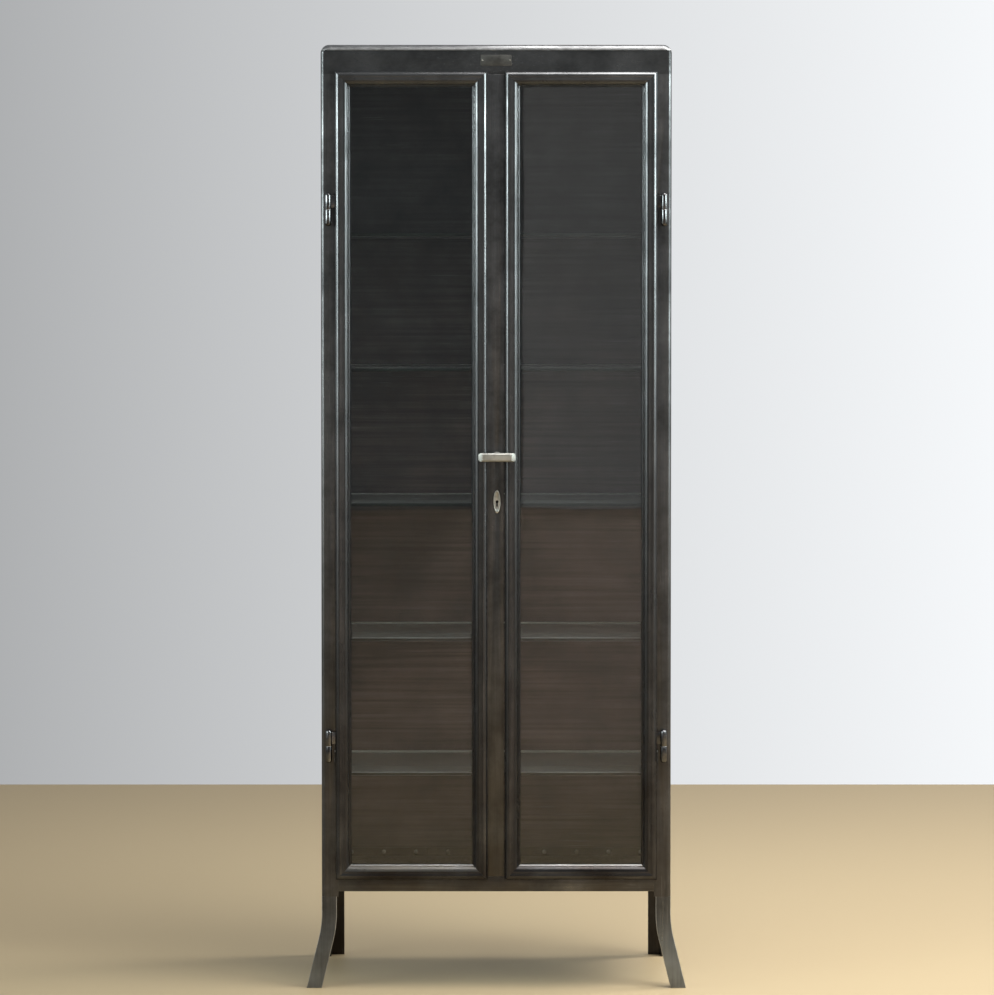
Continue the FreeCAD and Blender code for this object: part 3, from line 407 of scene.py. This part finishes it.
def satin_nickel(name, bright, shade, roughness):
    material, tree, shader, place = new_finish(name)
    brushed = clouds(tree, place, 1.0, 3.0, (80.0, 900.0, 900.0))
    stain = between(tree, clouds(tree, place, 60.0, 5.0), 0.42, 0.68)
    tone = mix_colour(tree, between(tree, brushed, 0.35, 0.65, 0.0, 0.3), bright, shade)
    tree.links.new(mix_colour(tree, stain, tone, shade), shader.inputs["Base Color"])
    rough = between(tree, brushed, 0.3, 0.7, roughness - 0.06, roughness + 0.1)
    tree.links.new(rough, shader.inputs["Roughness"])
    shader.inputs["Metallic"].default_value = 1.0
    dent(tree, shader, brushed, 0.12, 0.3 * MM)
    return material


rubbed = rubbed_edge()
nickel = satin_nickel("satin_nickel", (0.57, 0.56, 0.52), (0.34, 0.33, 0.30), 0.40)
old_nickel = satin_nickel("tarnished_nickel", (0.34, 0.33, 0.30), (0.15, 0.14, 0.12), 0.36)
turned_steel = satin_nickel("turned_hinge_steel", (0.17, 0.17, 0.173), (0.065, 0.065, 0.066), 0.19)
# A darker nickel for the T-bar's ends, edges and sides: painted shade that tones down their highlights.
end_nickel_painted_shade = satin_nickel("nickel_ends_painted_shade", (0.37, 0.365, 0.34), (0.22, 0.215, 0.20), 0.5)
old_plate = satin_nickel("tarnished_plate", (0.102, 0.099, 0.093), (0.053, 0.051, 0.047), 0.5)
plain_steel = satin_nickel("plain_steel", (0.45, 0.45, 0.45), (0.25, 0.25, 0.25), 0.38)
gear_brass = satin_nickel("gear_brass", (0.55, 0.42, 0.18), (0.30, 0.22, 0.09), 0.38)
print("edges and fittings:", rubbed.name, nickel.name, old_plate.name)

# %% [markdown]
# ## Old glass
# The panes are old clear glass: faintly green, a little dusty, with slow waves in the surface. Light has to
# pass through a pane to reach the shelves, so shadow rays meet a Transparent shader in place of the glass.
# A shelf's ground edge is cloudy and pale, and its front edge, seen end on, is made almost black as painted
# shade.

# %% Glass
def old_glass(name, tint, dust, clarity):
    material, tree, shader, place = new_finish(name)
    shader.inputs["Base Color"].default_value = (*tint, 1.0)
    shader.inputs["Transmission Weight"].default_value = clarity
    shader.inputs["IOR"].default_value = 1.5
    film = between(tree, clouds(tree, place, 14.0, 6.0, (1, 1, 0.6)), 0.35, 0.75, 0.0, dust)
    tree.links.new(film, shader.inputs["Roughness"])
    dent(tree, shader, clouds(tree, place, 5.0, 0.0), 0.03, 2 * MM)
    clear = add(tree, "ShaderNodeBsdfTransparent", {"Color": (*(value * 0.92 for value in tint), 1.0)})
    shadow = add(tree, "ShaderNodeLightPath").outputs["Is Shadow Ray"]
    both = add(tree, "ShaderNodeMixShader", {0: shadow, 1: shader.outputs[0], 2: clear.outputs[0]})
    tree.links.new(both.outputs[0], tree.nodes["Material Output"].inputs["Surface"])
    return material


def ground_edge():
    material, tree, shader, place = new_finish("ground_glass_edge")
    tone = mix_colour(tree, clouds(tree, place, 90.0, 4.0), (0.45, 0.45, 0.43), (0.92, 0.91, 0.87))
    tree.links.new(tone, shader.inputs["Base Color"])
    shader.inputs["Roughness"].default_value = 0.35
    shader.inputs["Transmission Weight"].default_value = 0.1
    return material


pane_glass = old_glass("old_pane_glass", (0.92, 0.94, 0.93), 0.02, 1.0)
shelf_glass = old_glass("shelf_glass", (0.84, 0.86, 0.85), 0.04, 0.97)
shelf_edge = ground_edge()
# Near black for the shelves' front faces: painted shade.
shelf_front_painted_shade = plain_material("glass_edge_painted_shade", (0.004, 0.006, 0.005), 0.2)
# Black japan for the cases; the same black is also painted shade in the keyhole.
black_japan_and_painted_shade = plain_material("black_japan_and_painted_shade", (0.008, 0.008, 0.008), 0.4)
print("glass:", pane_glass.name, shelf_glass.name)

# %% [markdown]
# ## Sheet pieces with soft, worn edges
# A folded sheet never ends in a mathematically sharp corner, and the soft corner is what catches light.
# Each sheet piece here is a copy of its solid. The copy's loose triangles are merged, flat triangles are
# joined, and a Bevel modifier rounds every sharp edge. The modifier can give the new faces a material of
# their own, which puts the rubbed finish exactly where wear falls.

# %% Copies of solids
MERGE_DISTANCE = 2e-6
FLAT_ANGLE = 0.6
dressed = {}


def merged_copy(node):
    mesh = nodes[node].data.copy()
    mesh.materials.clear()
    work = bmesh.new()
    work.from_mesh(mesh)
    bmesh.ops.remove_doubles(work, verts=work.verts, dist=MERGE_DISTANCE)
    bmesh.ops.dissolve_limit(work, angle_limit=math.radians(FLAT_ANGLE), verts=work.verts, edges=work.edges)
    for face in work.faces:
        face.material_index = 0
    work.to_mesh(mesh)
    work.free()
    if mesh.attributes.get("custom_normal"):
        mesh.attributes.remove(mesh.attributes["custom_normal"])
    return mesh


def smooth_by_angle(mesh, degrees=32):
    mesh.shade_smooth()
    mesh.set_sharp_from_angle(angle=math.radians(degrees))


def bake_modifiers(piece):
    """Swaps the piece's mesh for the evaluated one and takes its modifiers off."""
    evaluated = piece.evaluated_get(bpy.context.evaluated_depsgraph_get())
    result = bpy.data.meshes.new_from_object(evaluated)
    piece.modifiers.clear()
    piece.data = result
    result.name = piece.name


def stand_in(piece, node):
    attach(piece, body_of[node])
    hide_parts(node)
    dressed[node] = piece


print("ready to copy", len(nodes), "solids")

# %% Rounded copies
SEAM_TOLERANCE = 2e-5


def mark_sharp_edges(mesh, seams, sharp):
    """Gives a bevel weight to each sharp edge, apart from level ones at the height of a welded seam."""
    work = bmesh.new()
    work.from_mesh(mesh)
    weight = work.edges.layers.float.new("bevel_weight_edge")
    for edge in work.edges:
        heights = [vert.co.z for vert in edge.verts]
        welded_edge = any(all(abs(height - seam) < SEAM_TOLERANCE for height in heights) for seam in seams)
        if len(edge.link_faces) == 2 and edge.calc_face_angle() > math.radians(sharp) and not welded_edge:
            edge[weight] = 1.0
    work.to_mesh(mesh)
    work.free()


def soften(node, finish, edge_finish, width, segments=3, seams=(), sharp=40):
    """Makes the dressed copy of one solid, with its sharp edges rounded to width."""
    mesh = merged_copy(node)
    mark_sharp_edges(mesh, seams, sharp)
    mesh.materials.append(finish)
    mesh.materials.append(edge_finish)
    piece = bpy.data.objects.new(f"{node}_dressed", mesh)
    scene.collection.objects.link(piece)
    bevel = piece.modifiers.new("edges", "BEVEL")
    bevel.width = width
    bevel.segments = segments
    bevel.limit_method = "WEIGHT"
    bevel.material = 1
    bevel.harden_normals = False
    bpy.context.view_layer.update()
    bake_modifiers(piece)
    smooth_by_angle(piece.data)
    stand_in(piece, node)
    return piece


print("edges sharper than 40 degrees get rounds")

# %% Posts, legs, header, top, sill and strip
welded = (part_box("left_front_post")[0].z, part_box("left_front_post")[1].z)
for name in ("left_front_post", "right_front_post", "left_rear_post", "right_rear_post"):
    soften(name, steel_upright, rubbed, 0.6 * MM, seams=welded)
for name in ("front_left_leg", "front_right_leg"):
    soften(name, leg_steel, plain_steel, 1.1 * MM, seams=welded)
for name in ("rear_left_leg", "rear_right_leg"):
    leg = soften(name, painted_shade_steel, steel_upright, 0.8 * MM, seams=welded).data
    # Faces turned forward keep the near-black steel as painted shade; back and outer sides get the upright
    # steel.
    for face in leg.polygons:
        face.material_index = int(face.normal.y > 0.3 or abs(face.normal.x) > 0.7)
soften("header_rail", header_steel, rubbed, 0.8 * MM, seams=welded)
top = soften("top_panel", steel_level, rubbed, 0.6 * MM).data
top.materials.append(roll_painted_sheen)
top.materials.append(plain_steel)
# The roll's upward faces get the paler roll steel and the front faces below them the plain steel: both a
# painted sheen.
for face in top.polygons:
    if -0.2 < face.normal.z < 0.98 and face.normal.y < -0.1:
        face.material_index = 2 if face.normal.z > 0.45 else 3
soften("sill_rail", steel_level, rubbed, 0.6 * MM)
soften("closing_strip", steel_upright, rubbed, 0.5 * MM)
face_count = sum(len(piece.data.polygons) for piece in dressed.values())
print(len(dressed), "dressed sheet pieces,", face_count, "faces")

# %% [markdown]
# ## The door mouldings
# Each door is framed by four lengths of one pressed section, cut at 45 degrees and welded at the corners: a
# lip, a round bead, a flat crest, an inner round, then a small bead that holds the glass. The section
# follows a rule, so it is written once as points in a plane and swept from corner to corner. Sliding each
# point along by its own distance from the outer edge makes the mitre. The long faces are cut into short
# lengths, so the surface can wander a little like rolled metal.

# %% The section
BEAD = ((9.0, 7.0), 8.0)
INNER_ROUND = ((15.4, 3.2), 11.0)
GLASS_BEAD = ((26.6, 5.2), 1.9)


def arc_points(circle, start, end, steps):
    (across, out), radius = circle
    angles = [math.radians(start + (end - start) * step / steps) for step in range(steps + 1)]
    return [(across + radius * math.cos(angle), out + radius * math.sin(angle)) for angle in angles]


def moulding_section():
    """Points in millimetres: across from the outer edge, and out from the door's back."""
    points = [(0, 0), (12, 0), (12, 1.6), (3.1, 1.6), (3.1, 10.0), (8.5, 12.4)]
    points += [(15.4, 12.6), (20.6, 10.2), (22.2, 4.0), (28.5, 4.0)]
    points += arc_points(GLASS_BEAD, 0, 105, 9)
    points += arc_points(INNER_ROUND, 28, 90, 16)
    points += [(9.8, 14.2), (9.0, 14.4)]
    points += arc_points(BEAD, 90, 180, 16)
    points += [(1.0, 5.0), (0, 5.0)]
    return [(across * MM, out * MM) for across, out in points]


section = moulding_section()
print("moulding section of", len(section), "points")

# %% Sweep the section along a side of a door
BACK = -0.6 * MM
MITRE_GAP = 0.08 * MM
ROW_LENGTH = 30 * MM
STILL_BELOW = 5 * MM
INNER_ROUND_START, LIP_START = 16.5 * MM, 25.6 * MM


def wander(along, seed):
    """A slow drift of a few hundredths of a millimetre, as in rolled metal."""
    return 0.05 * MM * (math.sin(along * 23.0 + seed) + 0.6 * math.sin(along * 61.0 + 2.0 * seed))


def swept_rings(work, start, end, inward, seed):
    along = (end - start).normalized()
    length = (end - start).length
    outward = Vector((0, -1, 0))
    rows = max(2, round(length / ROW_LENGTH))
    rings = []
    for row in range(rows + 1):
        ring = []
        for across, rise in section:
            travel = (across + MITRE_GAP) + (length - 2 * (across + MITRE_GAP)) * (row / rows)
            drift = wander(travel, seed) if rise > STILL_BELOW else 0.0
            ring.append(work.verts.new(start + along * travel + inward * across + outward * (rise + drift)))
        rings.append(ring)
    return rings


def moulding_piece(node, start, end, inward, finishes, seed):
    """finishes are for the bead and crest, the inner round, and the small bead on the glass."""
    work = bmesh.new()
    rings = swept_rings(work, start, end, inward, seed)
    count = len(section)
    for first, second in zip(rings, rings[1:]):
        for number in range(count):
            following = (number + 1) % count
            face = work.faces.new((first[number], first[following], second[following], second[number]))
            nearest = min(section[number][0], section[following][0])
            face.material_index = int(nearest > INNER_ROUND_START) + int(nearest > LIP_START)
    work.faces.new(rings[0][::-1])
    work.faces.new(rings[-1])
    bmesh.ops.recalc_face_normals(work, faces=work.faces)
    mesh = bpy.data.meshes.new(f"{node}_pressed")
    work.to_mesh(mesh)
    work.free()
    for finish in finishes:
        mesh.materials.append(finish)
    smooth_by_angle(mesh, 40)
    piece = bpy.data.objects.new(f"{node}_pressed", mesh)
    scene.collection.objects.link(piece)
    stand_in(piece, node)


print("rows of about", ROW_LENGTH, "m")

# %% Four sides for each door
right, up = Vector((1, 0, 0)), Vector((0, 0, 1))
stile_finishes = (bead_upright, inner_upright, inner_upright)
for door in ("left_door", "right_door"):
    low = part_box(f"{door}_bottom_rail")[0]
    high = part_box(f"{door}_top_rail")[1]
    spots = ((low.x, low.z), (high.x, low.z), (high.x, high.z), (low.x, high.z))
    corners = [Vector((x, FRONT + BACK, z)) for x, z in spots]
    left_stile, right_stile = ("hinge", "meeting") if door == "left_door" else ("meeting", "hinge")
    # The left door's bottom inner round gets a paler steel as a painted sheen.
    low_round = round_painted_sheen if door == "left_door" else inner_level
    sides = (
        # the bottom rail's glass bead faces up and is pale as a painted highlight
        ("bottom_rail", up, (bead_level, low_round, lip_painted_highlight)),
        (f"{right_stile}_stile", -right, stile_finishes),
        # the top rail's glass bead faces down and is near black as painted shade
        ("top_rail", -up, (bead_level, inner_level, painted_shade_steel)),
        (f"{left_stile}_stile", right, stile_finishes),
    )
    for number, (side, inward, finishes) in enumerate(sides):
        start, end = corners[number], corners[(number + 1) % len(corners)]
        moulding_piece(f"{door}_{side}", start, end, inward, finishes, number + 1.0)
print("moulded sides:", len([name for name in dressed if "stile" in name or "rail" in name]))

# %% [markdown]
# ## Fittings
# The T-bar, its rose and the keyhole plate are solid nickel with rounded corners. The lift-off hinges are
# turned steel with bullet ends. Apart from the keyhole plate, they already have the right shape in the
# solids, so their copies only get small rounds. Only the flat front of the T-bar keeps the bright finish;
# its ends, edges and sides get a darker nickel as painted shade.

# %% Nickel and hinge pieces
bar = soften("handle_bar", nickel, end_nickel_painted_shade, 1.2 * MM, 4, sharp=20).data
# All but the flat front of the bar get the darker nickel, as painted shade.
for face in bar.polygons:
    face.material_index = int(face.normal.y > -0.95)
soften("handle_rose", nickel, nickel, 0.7 * MM, 3)
soften("bare_plate", old_plate, old_nickel, 0.3 * MM, 2)
for name in ("hinge_post_knuckles", "left_door_hinge_knuckles", "right_door_hinge_knuckles"):
    soften(name, turned_steel, plain_steel, 0.5 * MM, 3)
print("fittings:", len(dressed), "dressed pieces in all")

# %% [markdown]
# ## The keyhole plate
# The oval plate has a raised rim and a small raised ring round the keyhole. It is drawn as rings of points
# about the keyhole's centre. The outer rings follow an ellipse and the inner ones follow the keyhole
# itself, a round barrel with a slot under it, so the hole is real and needs no boolean. A black face deep in
# the hole is painted shade inside the keyhole.

# %% Outlines of the plate and the keyhole
BARREL, HALF_SLOT, SLOT_DROP = 2.8 * MM, 1.3 * MM, 9.0 * MM
RIM_RINGS = ((1.0, 0.0), (0.965, 0.7 * MM), (0.90, 0.9 * MM), (0.82, 0.7 * MM), (0.78, 0.0))
HOLE_RINGS = ((1.3 * MM, 0.0), (1.0 * MM, 0.5 * MM), (0.3 * MM, 0.5 * MM), (0.0, 0.2 * MM))
DARK_RISE = 0.2 * MM


def oval_reach(angle, half_width, half_height):
    return half_width * half_height / math.hypot(half_height * math.cos(angle), half_width * math.sin(angle))


def keyhole_reach(angle):
    across, upward = abs(math.cos(angle)), math.sin(angle)
    if upward >= 0:
        return BARREL
    return max(BARREL, min(HALF_SLOT / max(across, 1e-6), SLOT_DROP / -upward))


print("keyhole from", BARREL, "above its centre to", SLOT_DROP, "below")

# %% Keyhole plate
def keyhole_plate(node, finish, hole_shade_finish, steps=96):
    """RIM_RINGS give a share of the oval and a rise, HOLE_RINGS a margin round the hole and a rise."""
    low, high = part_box(node)
    centre = (low + high) / 2
    half_width, half_height = (high.x - low.x) / 2, (high.z - low.z) / 2
    sheet = high.y - low.y
    work = bmesh.new()
    angles = [2 * math.pi * step / steps for step in range(steps)]
    oval = [oval_reach(angle, half_width, half_height) for angle in angles]
    hole = [keyhole_reach(angle) for angle in angles]

    def ring(reaches, rise):
        turns = [(math.cos(angle), math.sin(angle), reach) for angle, reach in zip(angles, reaches)]
        return [work.verts.new((centre.x + r * x, high.y - rise, centre.z + r * z)) for x, z, r in turns]

    rings = [ring(oval, 0.0)]
    rings += [ring([reach * share for reach in oval], sheet + rise) for share, rise in RIM_RINGS]
    face_ring = len(rings) - 1
    rings += [ring([reach + margin for reach in hole], sheet + rise) for margin, rise in HOLE_RINGS]
    rings.append(ring(hole, 0.0))
    for number, outer in enumerate(rings):
        inner = rings[(number + 1) % len(rings)]
        for step in range(steps):
            beside = (step + 1) % steps
            face = work.faces.new((outer[step], outer[beside], inner[beside], inner[step]))
            face.material_index = 0 if number == face_ring else 1
    bmesh.ops.recalc_face_normals(work, faces=work.faces)
    # The black face that closes the hole is painted shade inside the keyhole.
    work.faces.new(ring(hole, DARK_RISE)).material_index = 2
    mesh = bpy.data.meshes.new(f"{node}_rimmed")
    work.to_mesh(mesh)
    work.free()
    for slot_finish in (finish, finish, hole_shade_finish):
        mesh.materials.append(slot_finish)
    smooth_by_angle(mesh, 50)
    piece = bpy.data.objects.new(f"{node}_rimmed", mesh)
    scene.collection.objects.link(piece)
    stand_in(piece, node)
    return piece


plate = keyhole_plate("escutcheon", nickel, black_japan_and_painted_shade)
print("keyhole plate:", len(plate.data.polygons), "faces")

# %% [markdown]
# ## Rivets and small screws
# A row of round-headed rivets holds the back sheet, and two hold the small plate. Such repeats suit
# Geometry Nodes: one dome, flattened at its back, stands on every point of a line. The sizes are named
# inputs of the tree, so three sets of fasteners share it. Realize Instances turns the copies into real
# faces.

# %% The rivet tree
RIVET_INPUTS = (
    ("Count", "NodeSocketInt"),
    ("Start", "NodeSocketVector"),
    ("Step", "NodeSocketVector"),
    ("Radius", "NodeSocketFloat"),
    ("Height", "NodeSocketFloat"),
    ("Finish", "NodeSocketMaterial"),
)


def dome_mesh(tree, radius, height):
    """A ball pressed flat at its back and scaled to the rivet's radius and height."""
    ball = add(tree, "GeometryNodeMeshUVSphere", {"Segments": 20, "Rings": 12, "Radius": 1.0})
    spot = add(tree, "GeometryNodeInputPosition").outputs[0]
    parts = add(tree, "ShaderNodeSeparateXYZ", {0: spot}).outputs
    wide = combine(tree, "MULTIPLY", parts["X"], radius)
    deep = combine(tree, "MULTIPLY", combine(tree, "MINIMUM", parts["Y"], 0.0), height)
    tall = combine(tree, "MULTIPLY", parts["Z"], radius)
    shaped = add(tree, "ShaderNodeCombineXYZ", {"X": wide, "Y": deep, "Z": tall}).outputs[0]
    dome = add(tree, "GeometryNodeSetPosition", {"Geometry": ball.outputs["Mesh"], "Position": shaped})
    return add(tree, "GeometryNodeSetShadeSmooth", {"Geometry": dome.outputs[0]}).outputs[0]


def rivet_tree():
    tree = bpy.data.node_groups.new("rivet_row", "GeometryNodeTree")
    for label, kind in RIVET_INPUTS:
        tree.interface.new_socket(label, in_out="INPUT", socket_type=kind)
    tree.interface.new_socket("Geometry", in_out="OUTPUT", socket_type="NodeSocketGeometry")
    given = tree.nodes.new("NodeGroupInput").outputs
    spacing = {"Count": given["Count"], "Start Location": given["Start"], "Offset": given["Step"]}
    line = add(tree, "GeometryNodeMeshLine", spacing).outputs["Mesh"]
    dome = dome_mesh(tree, given["Radius"], given["Height"])
    copies = add(tree, "GeometryNodeInstanceOnPoints", {"Points": line, "Instance": dome}).outputs[0]
    real = add(tree, "GeometryNodeRealizeInstances", {"Geometry": copies}).outputs[0]
    dressing = {"Geometry": real, "Material": given["Finish"]}
    finished = add(tree, "GeometryNodeSetMaterial", dressing).outputs[0]
    tree.links.new(finished, tree.nodes.new("NodeGroupOutput").inputs["Geometry"])
    return tree


rivets = rivet_tree()
sockets = {item.name: item.identifier for item in rivets.interface.items_tree if item.in_out == "INPUT"}
print("rivet tree inputs:", list(sockets))

# %% Rows of rivets and screws
def rivet_row(node, count, first, step, radius, height, finish):
    piece = bpy.data.objects.new(f"{node}_heads", bpy.data.meshes.new(f"{node}_heads"))
    scene.collection.objects.link(piece)
    row = piece.modifiers.new("row", "NODES")
    row.node_group = rivets
    values = {
        "Count": count,
        "Start": first,
        "Step": step,
        "Radius": radius,
        "Height": height,
        "Finish": finish,
    }
    for label, value in values.items():
        row[sockets[label]] = value
    bpy.context.view_layer.update()
    bake_modifiers(piece)
    stand_in(piece, node)
    print(node, len(piece.data.polygons), "faces")


BACK_RIVETS, RIVET_HEAD, RIVET_RISE = 10, 4.3 * MM, 2.0 * MM
low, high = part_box("back_panel_rivets")
first = (low.x + RIVET_HEAD, low.y + RIVET_RISE, (low.z + high.z) / 2)
step = ((high.x - low.x - 2 * RIVET_HEAD) / (BACK_RIVETS - 1), 0, 0)
rivet_row("back_panel_rivets", BACK_RIVETS, first, step, RIVET_HEAD, RIVET_RISE, old_nickel)

low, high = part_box("bare_plate_rivets")
head = (high.z - low.z) / 2
first = (low.x + head, high.y, (low.z + high.z) / 2)
step = (high.x - low.x - 2 * head, 0, 0)
rivet_row("bare_plate_rivets", 2, first, step, head, high.y - low.y, old_nickel)

low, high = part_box("escutcheon_screws")
head = (high.x - low.x) / 2
first = ((low.x + high.x) / 2, high.y, low.z + head)
step = (0, 0, high.z - low.z - 2 * head)
rivet_row("escutcheon_screws", 2, first, step, head, high.y - low.y, turned_steel)

# %% [markdown]
# ## Glass shelves
# From the front one sees little of a shelf but its edges, so the shelves are softened copies whose rounds
# carry the ground finish. A strip along the rear is ground as well, so the rear edge shows through the pane
# as a pale line. The front face, and the front rounds of the upper shelves, are near black as painted shade;
# the lower shelves keep the ground finish on their front rounds.

# %% Shelves
GROUND_STRIP = 32 * MM
LOW_SHELVES = 2
GLASS, GROUND, DARK = 0, 1, 2


def ground_shelf(node, front_round):
    """Cuts off a narrow strip along the back of a shelf and gives each face its finish."""
    mesh = soften(node, shelf_glass, shelf_edge, 0.8 * MM, 2).data
    work = bmesh.new()
    work.from_mesh(mesh)
    strip_start = max(vert.co.y for vert in work.verts) - GROUND_STRIP
    everything = work.verts[:] + work.edges[:] + work.faces[:]
    bmesh.ops.bisect_plane(work, geom=everything, plane_co=(0, strip_start, 0), plane_no=(0, 1, 0))
    for face in work.faces:
        face.material_index = GROUND if face.calc_center_median().y > strip_start else GLASS
        # Front faces get the near-black finish as painted shade.
        if face.normal.y < -0.9:
            face.material_index = DARK
        elif face.normal.y < -0.2:
            face.material_index = front_round
    work.to_mesh(mesh)
    mesh.materials.append(shelf_front_painted_shade)
    work.free()


for number in range(1, 6):
    # Upper shelves' front rounds are near black as painted shade; the lower ones stay ground.
    ground_shelf(f"glass_shelf_{number}", GROUND if number <= LOW_SHELVES else DARK)
print("shelves:", len([name for name in dressed if "shelf" in name]))

# %% [markdown]
# ## Panes, panels and the inside
# The other pieces keep their solids and only need a finish. A solid's mesh is never changed, but its faces
# may use different material slots: the side and back panels are brown inside and blackened outside.

# %% Finishes for solids that stay
def give_finish(names, finish):
    for name in names:
        mesh = nodes[name].data
        mesh.materials.clear()
        mesh.materials.append(finish)


give_finish(("left_door_glass", "right_door_glass"), pane_glass)
# The floor panel inside gets the near-black steel as painted shade at the bottom of the cabinet.
give_finish(("floor_panel",), painted_shade_steel)
give_finish(("shelf_runners", "rod_guides"), steel_inside)
give_finish(("left_door_glass_retainers", "right_door_glass_retainers"), steel_upright)
for name, outward, outer_finish in (
    ("back_panel", (0, 1, 0), steel_level),
    ("left_side_panel", (-1, 0, 0), steel_upright),
    ("right_side_panel", (1, 0, 0), steel_upright),
):
    give_finish((name,), steel_inside)
    sheet = nodes[name].data
    sheet.materials.append(outer_finish)
    for face in sheet.polygons:
        face.material_index = int(face.normal.dot(Vector(outward)) > 0.5)
give_finish(("gear_case", "lock_case"), black_japan_and_painted_shade)
give_finish(("upper_rod", "lower_rod", "lock_bolt", "handle_spindle"), plain_steel)
give_finish(("hinge_pins", "rod_keeps", "bolt_strike"), plain_steel)
give_finish(("rod_pinion",), gear_brass)
left_over = [name for name in nodes if name not in dressed and len(nodes[name].data.materials) == 0]
print("solids with no finish:", left_over)
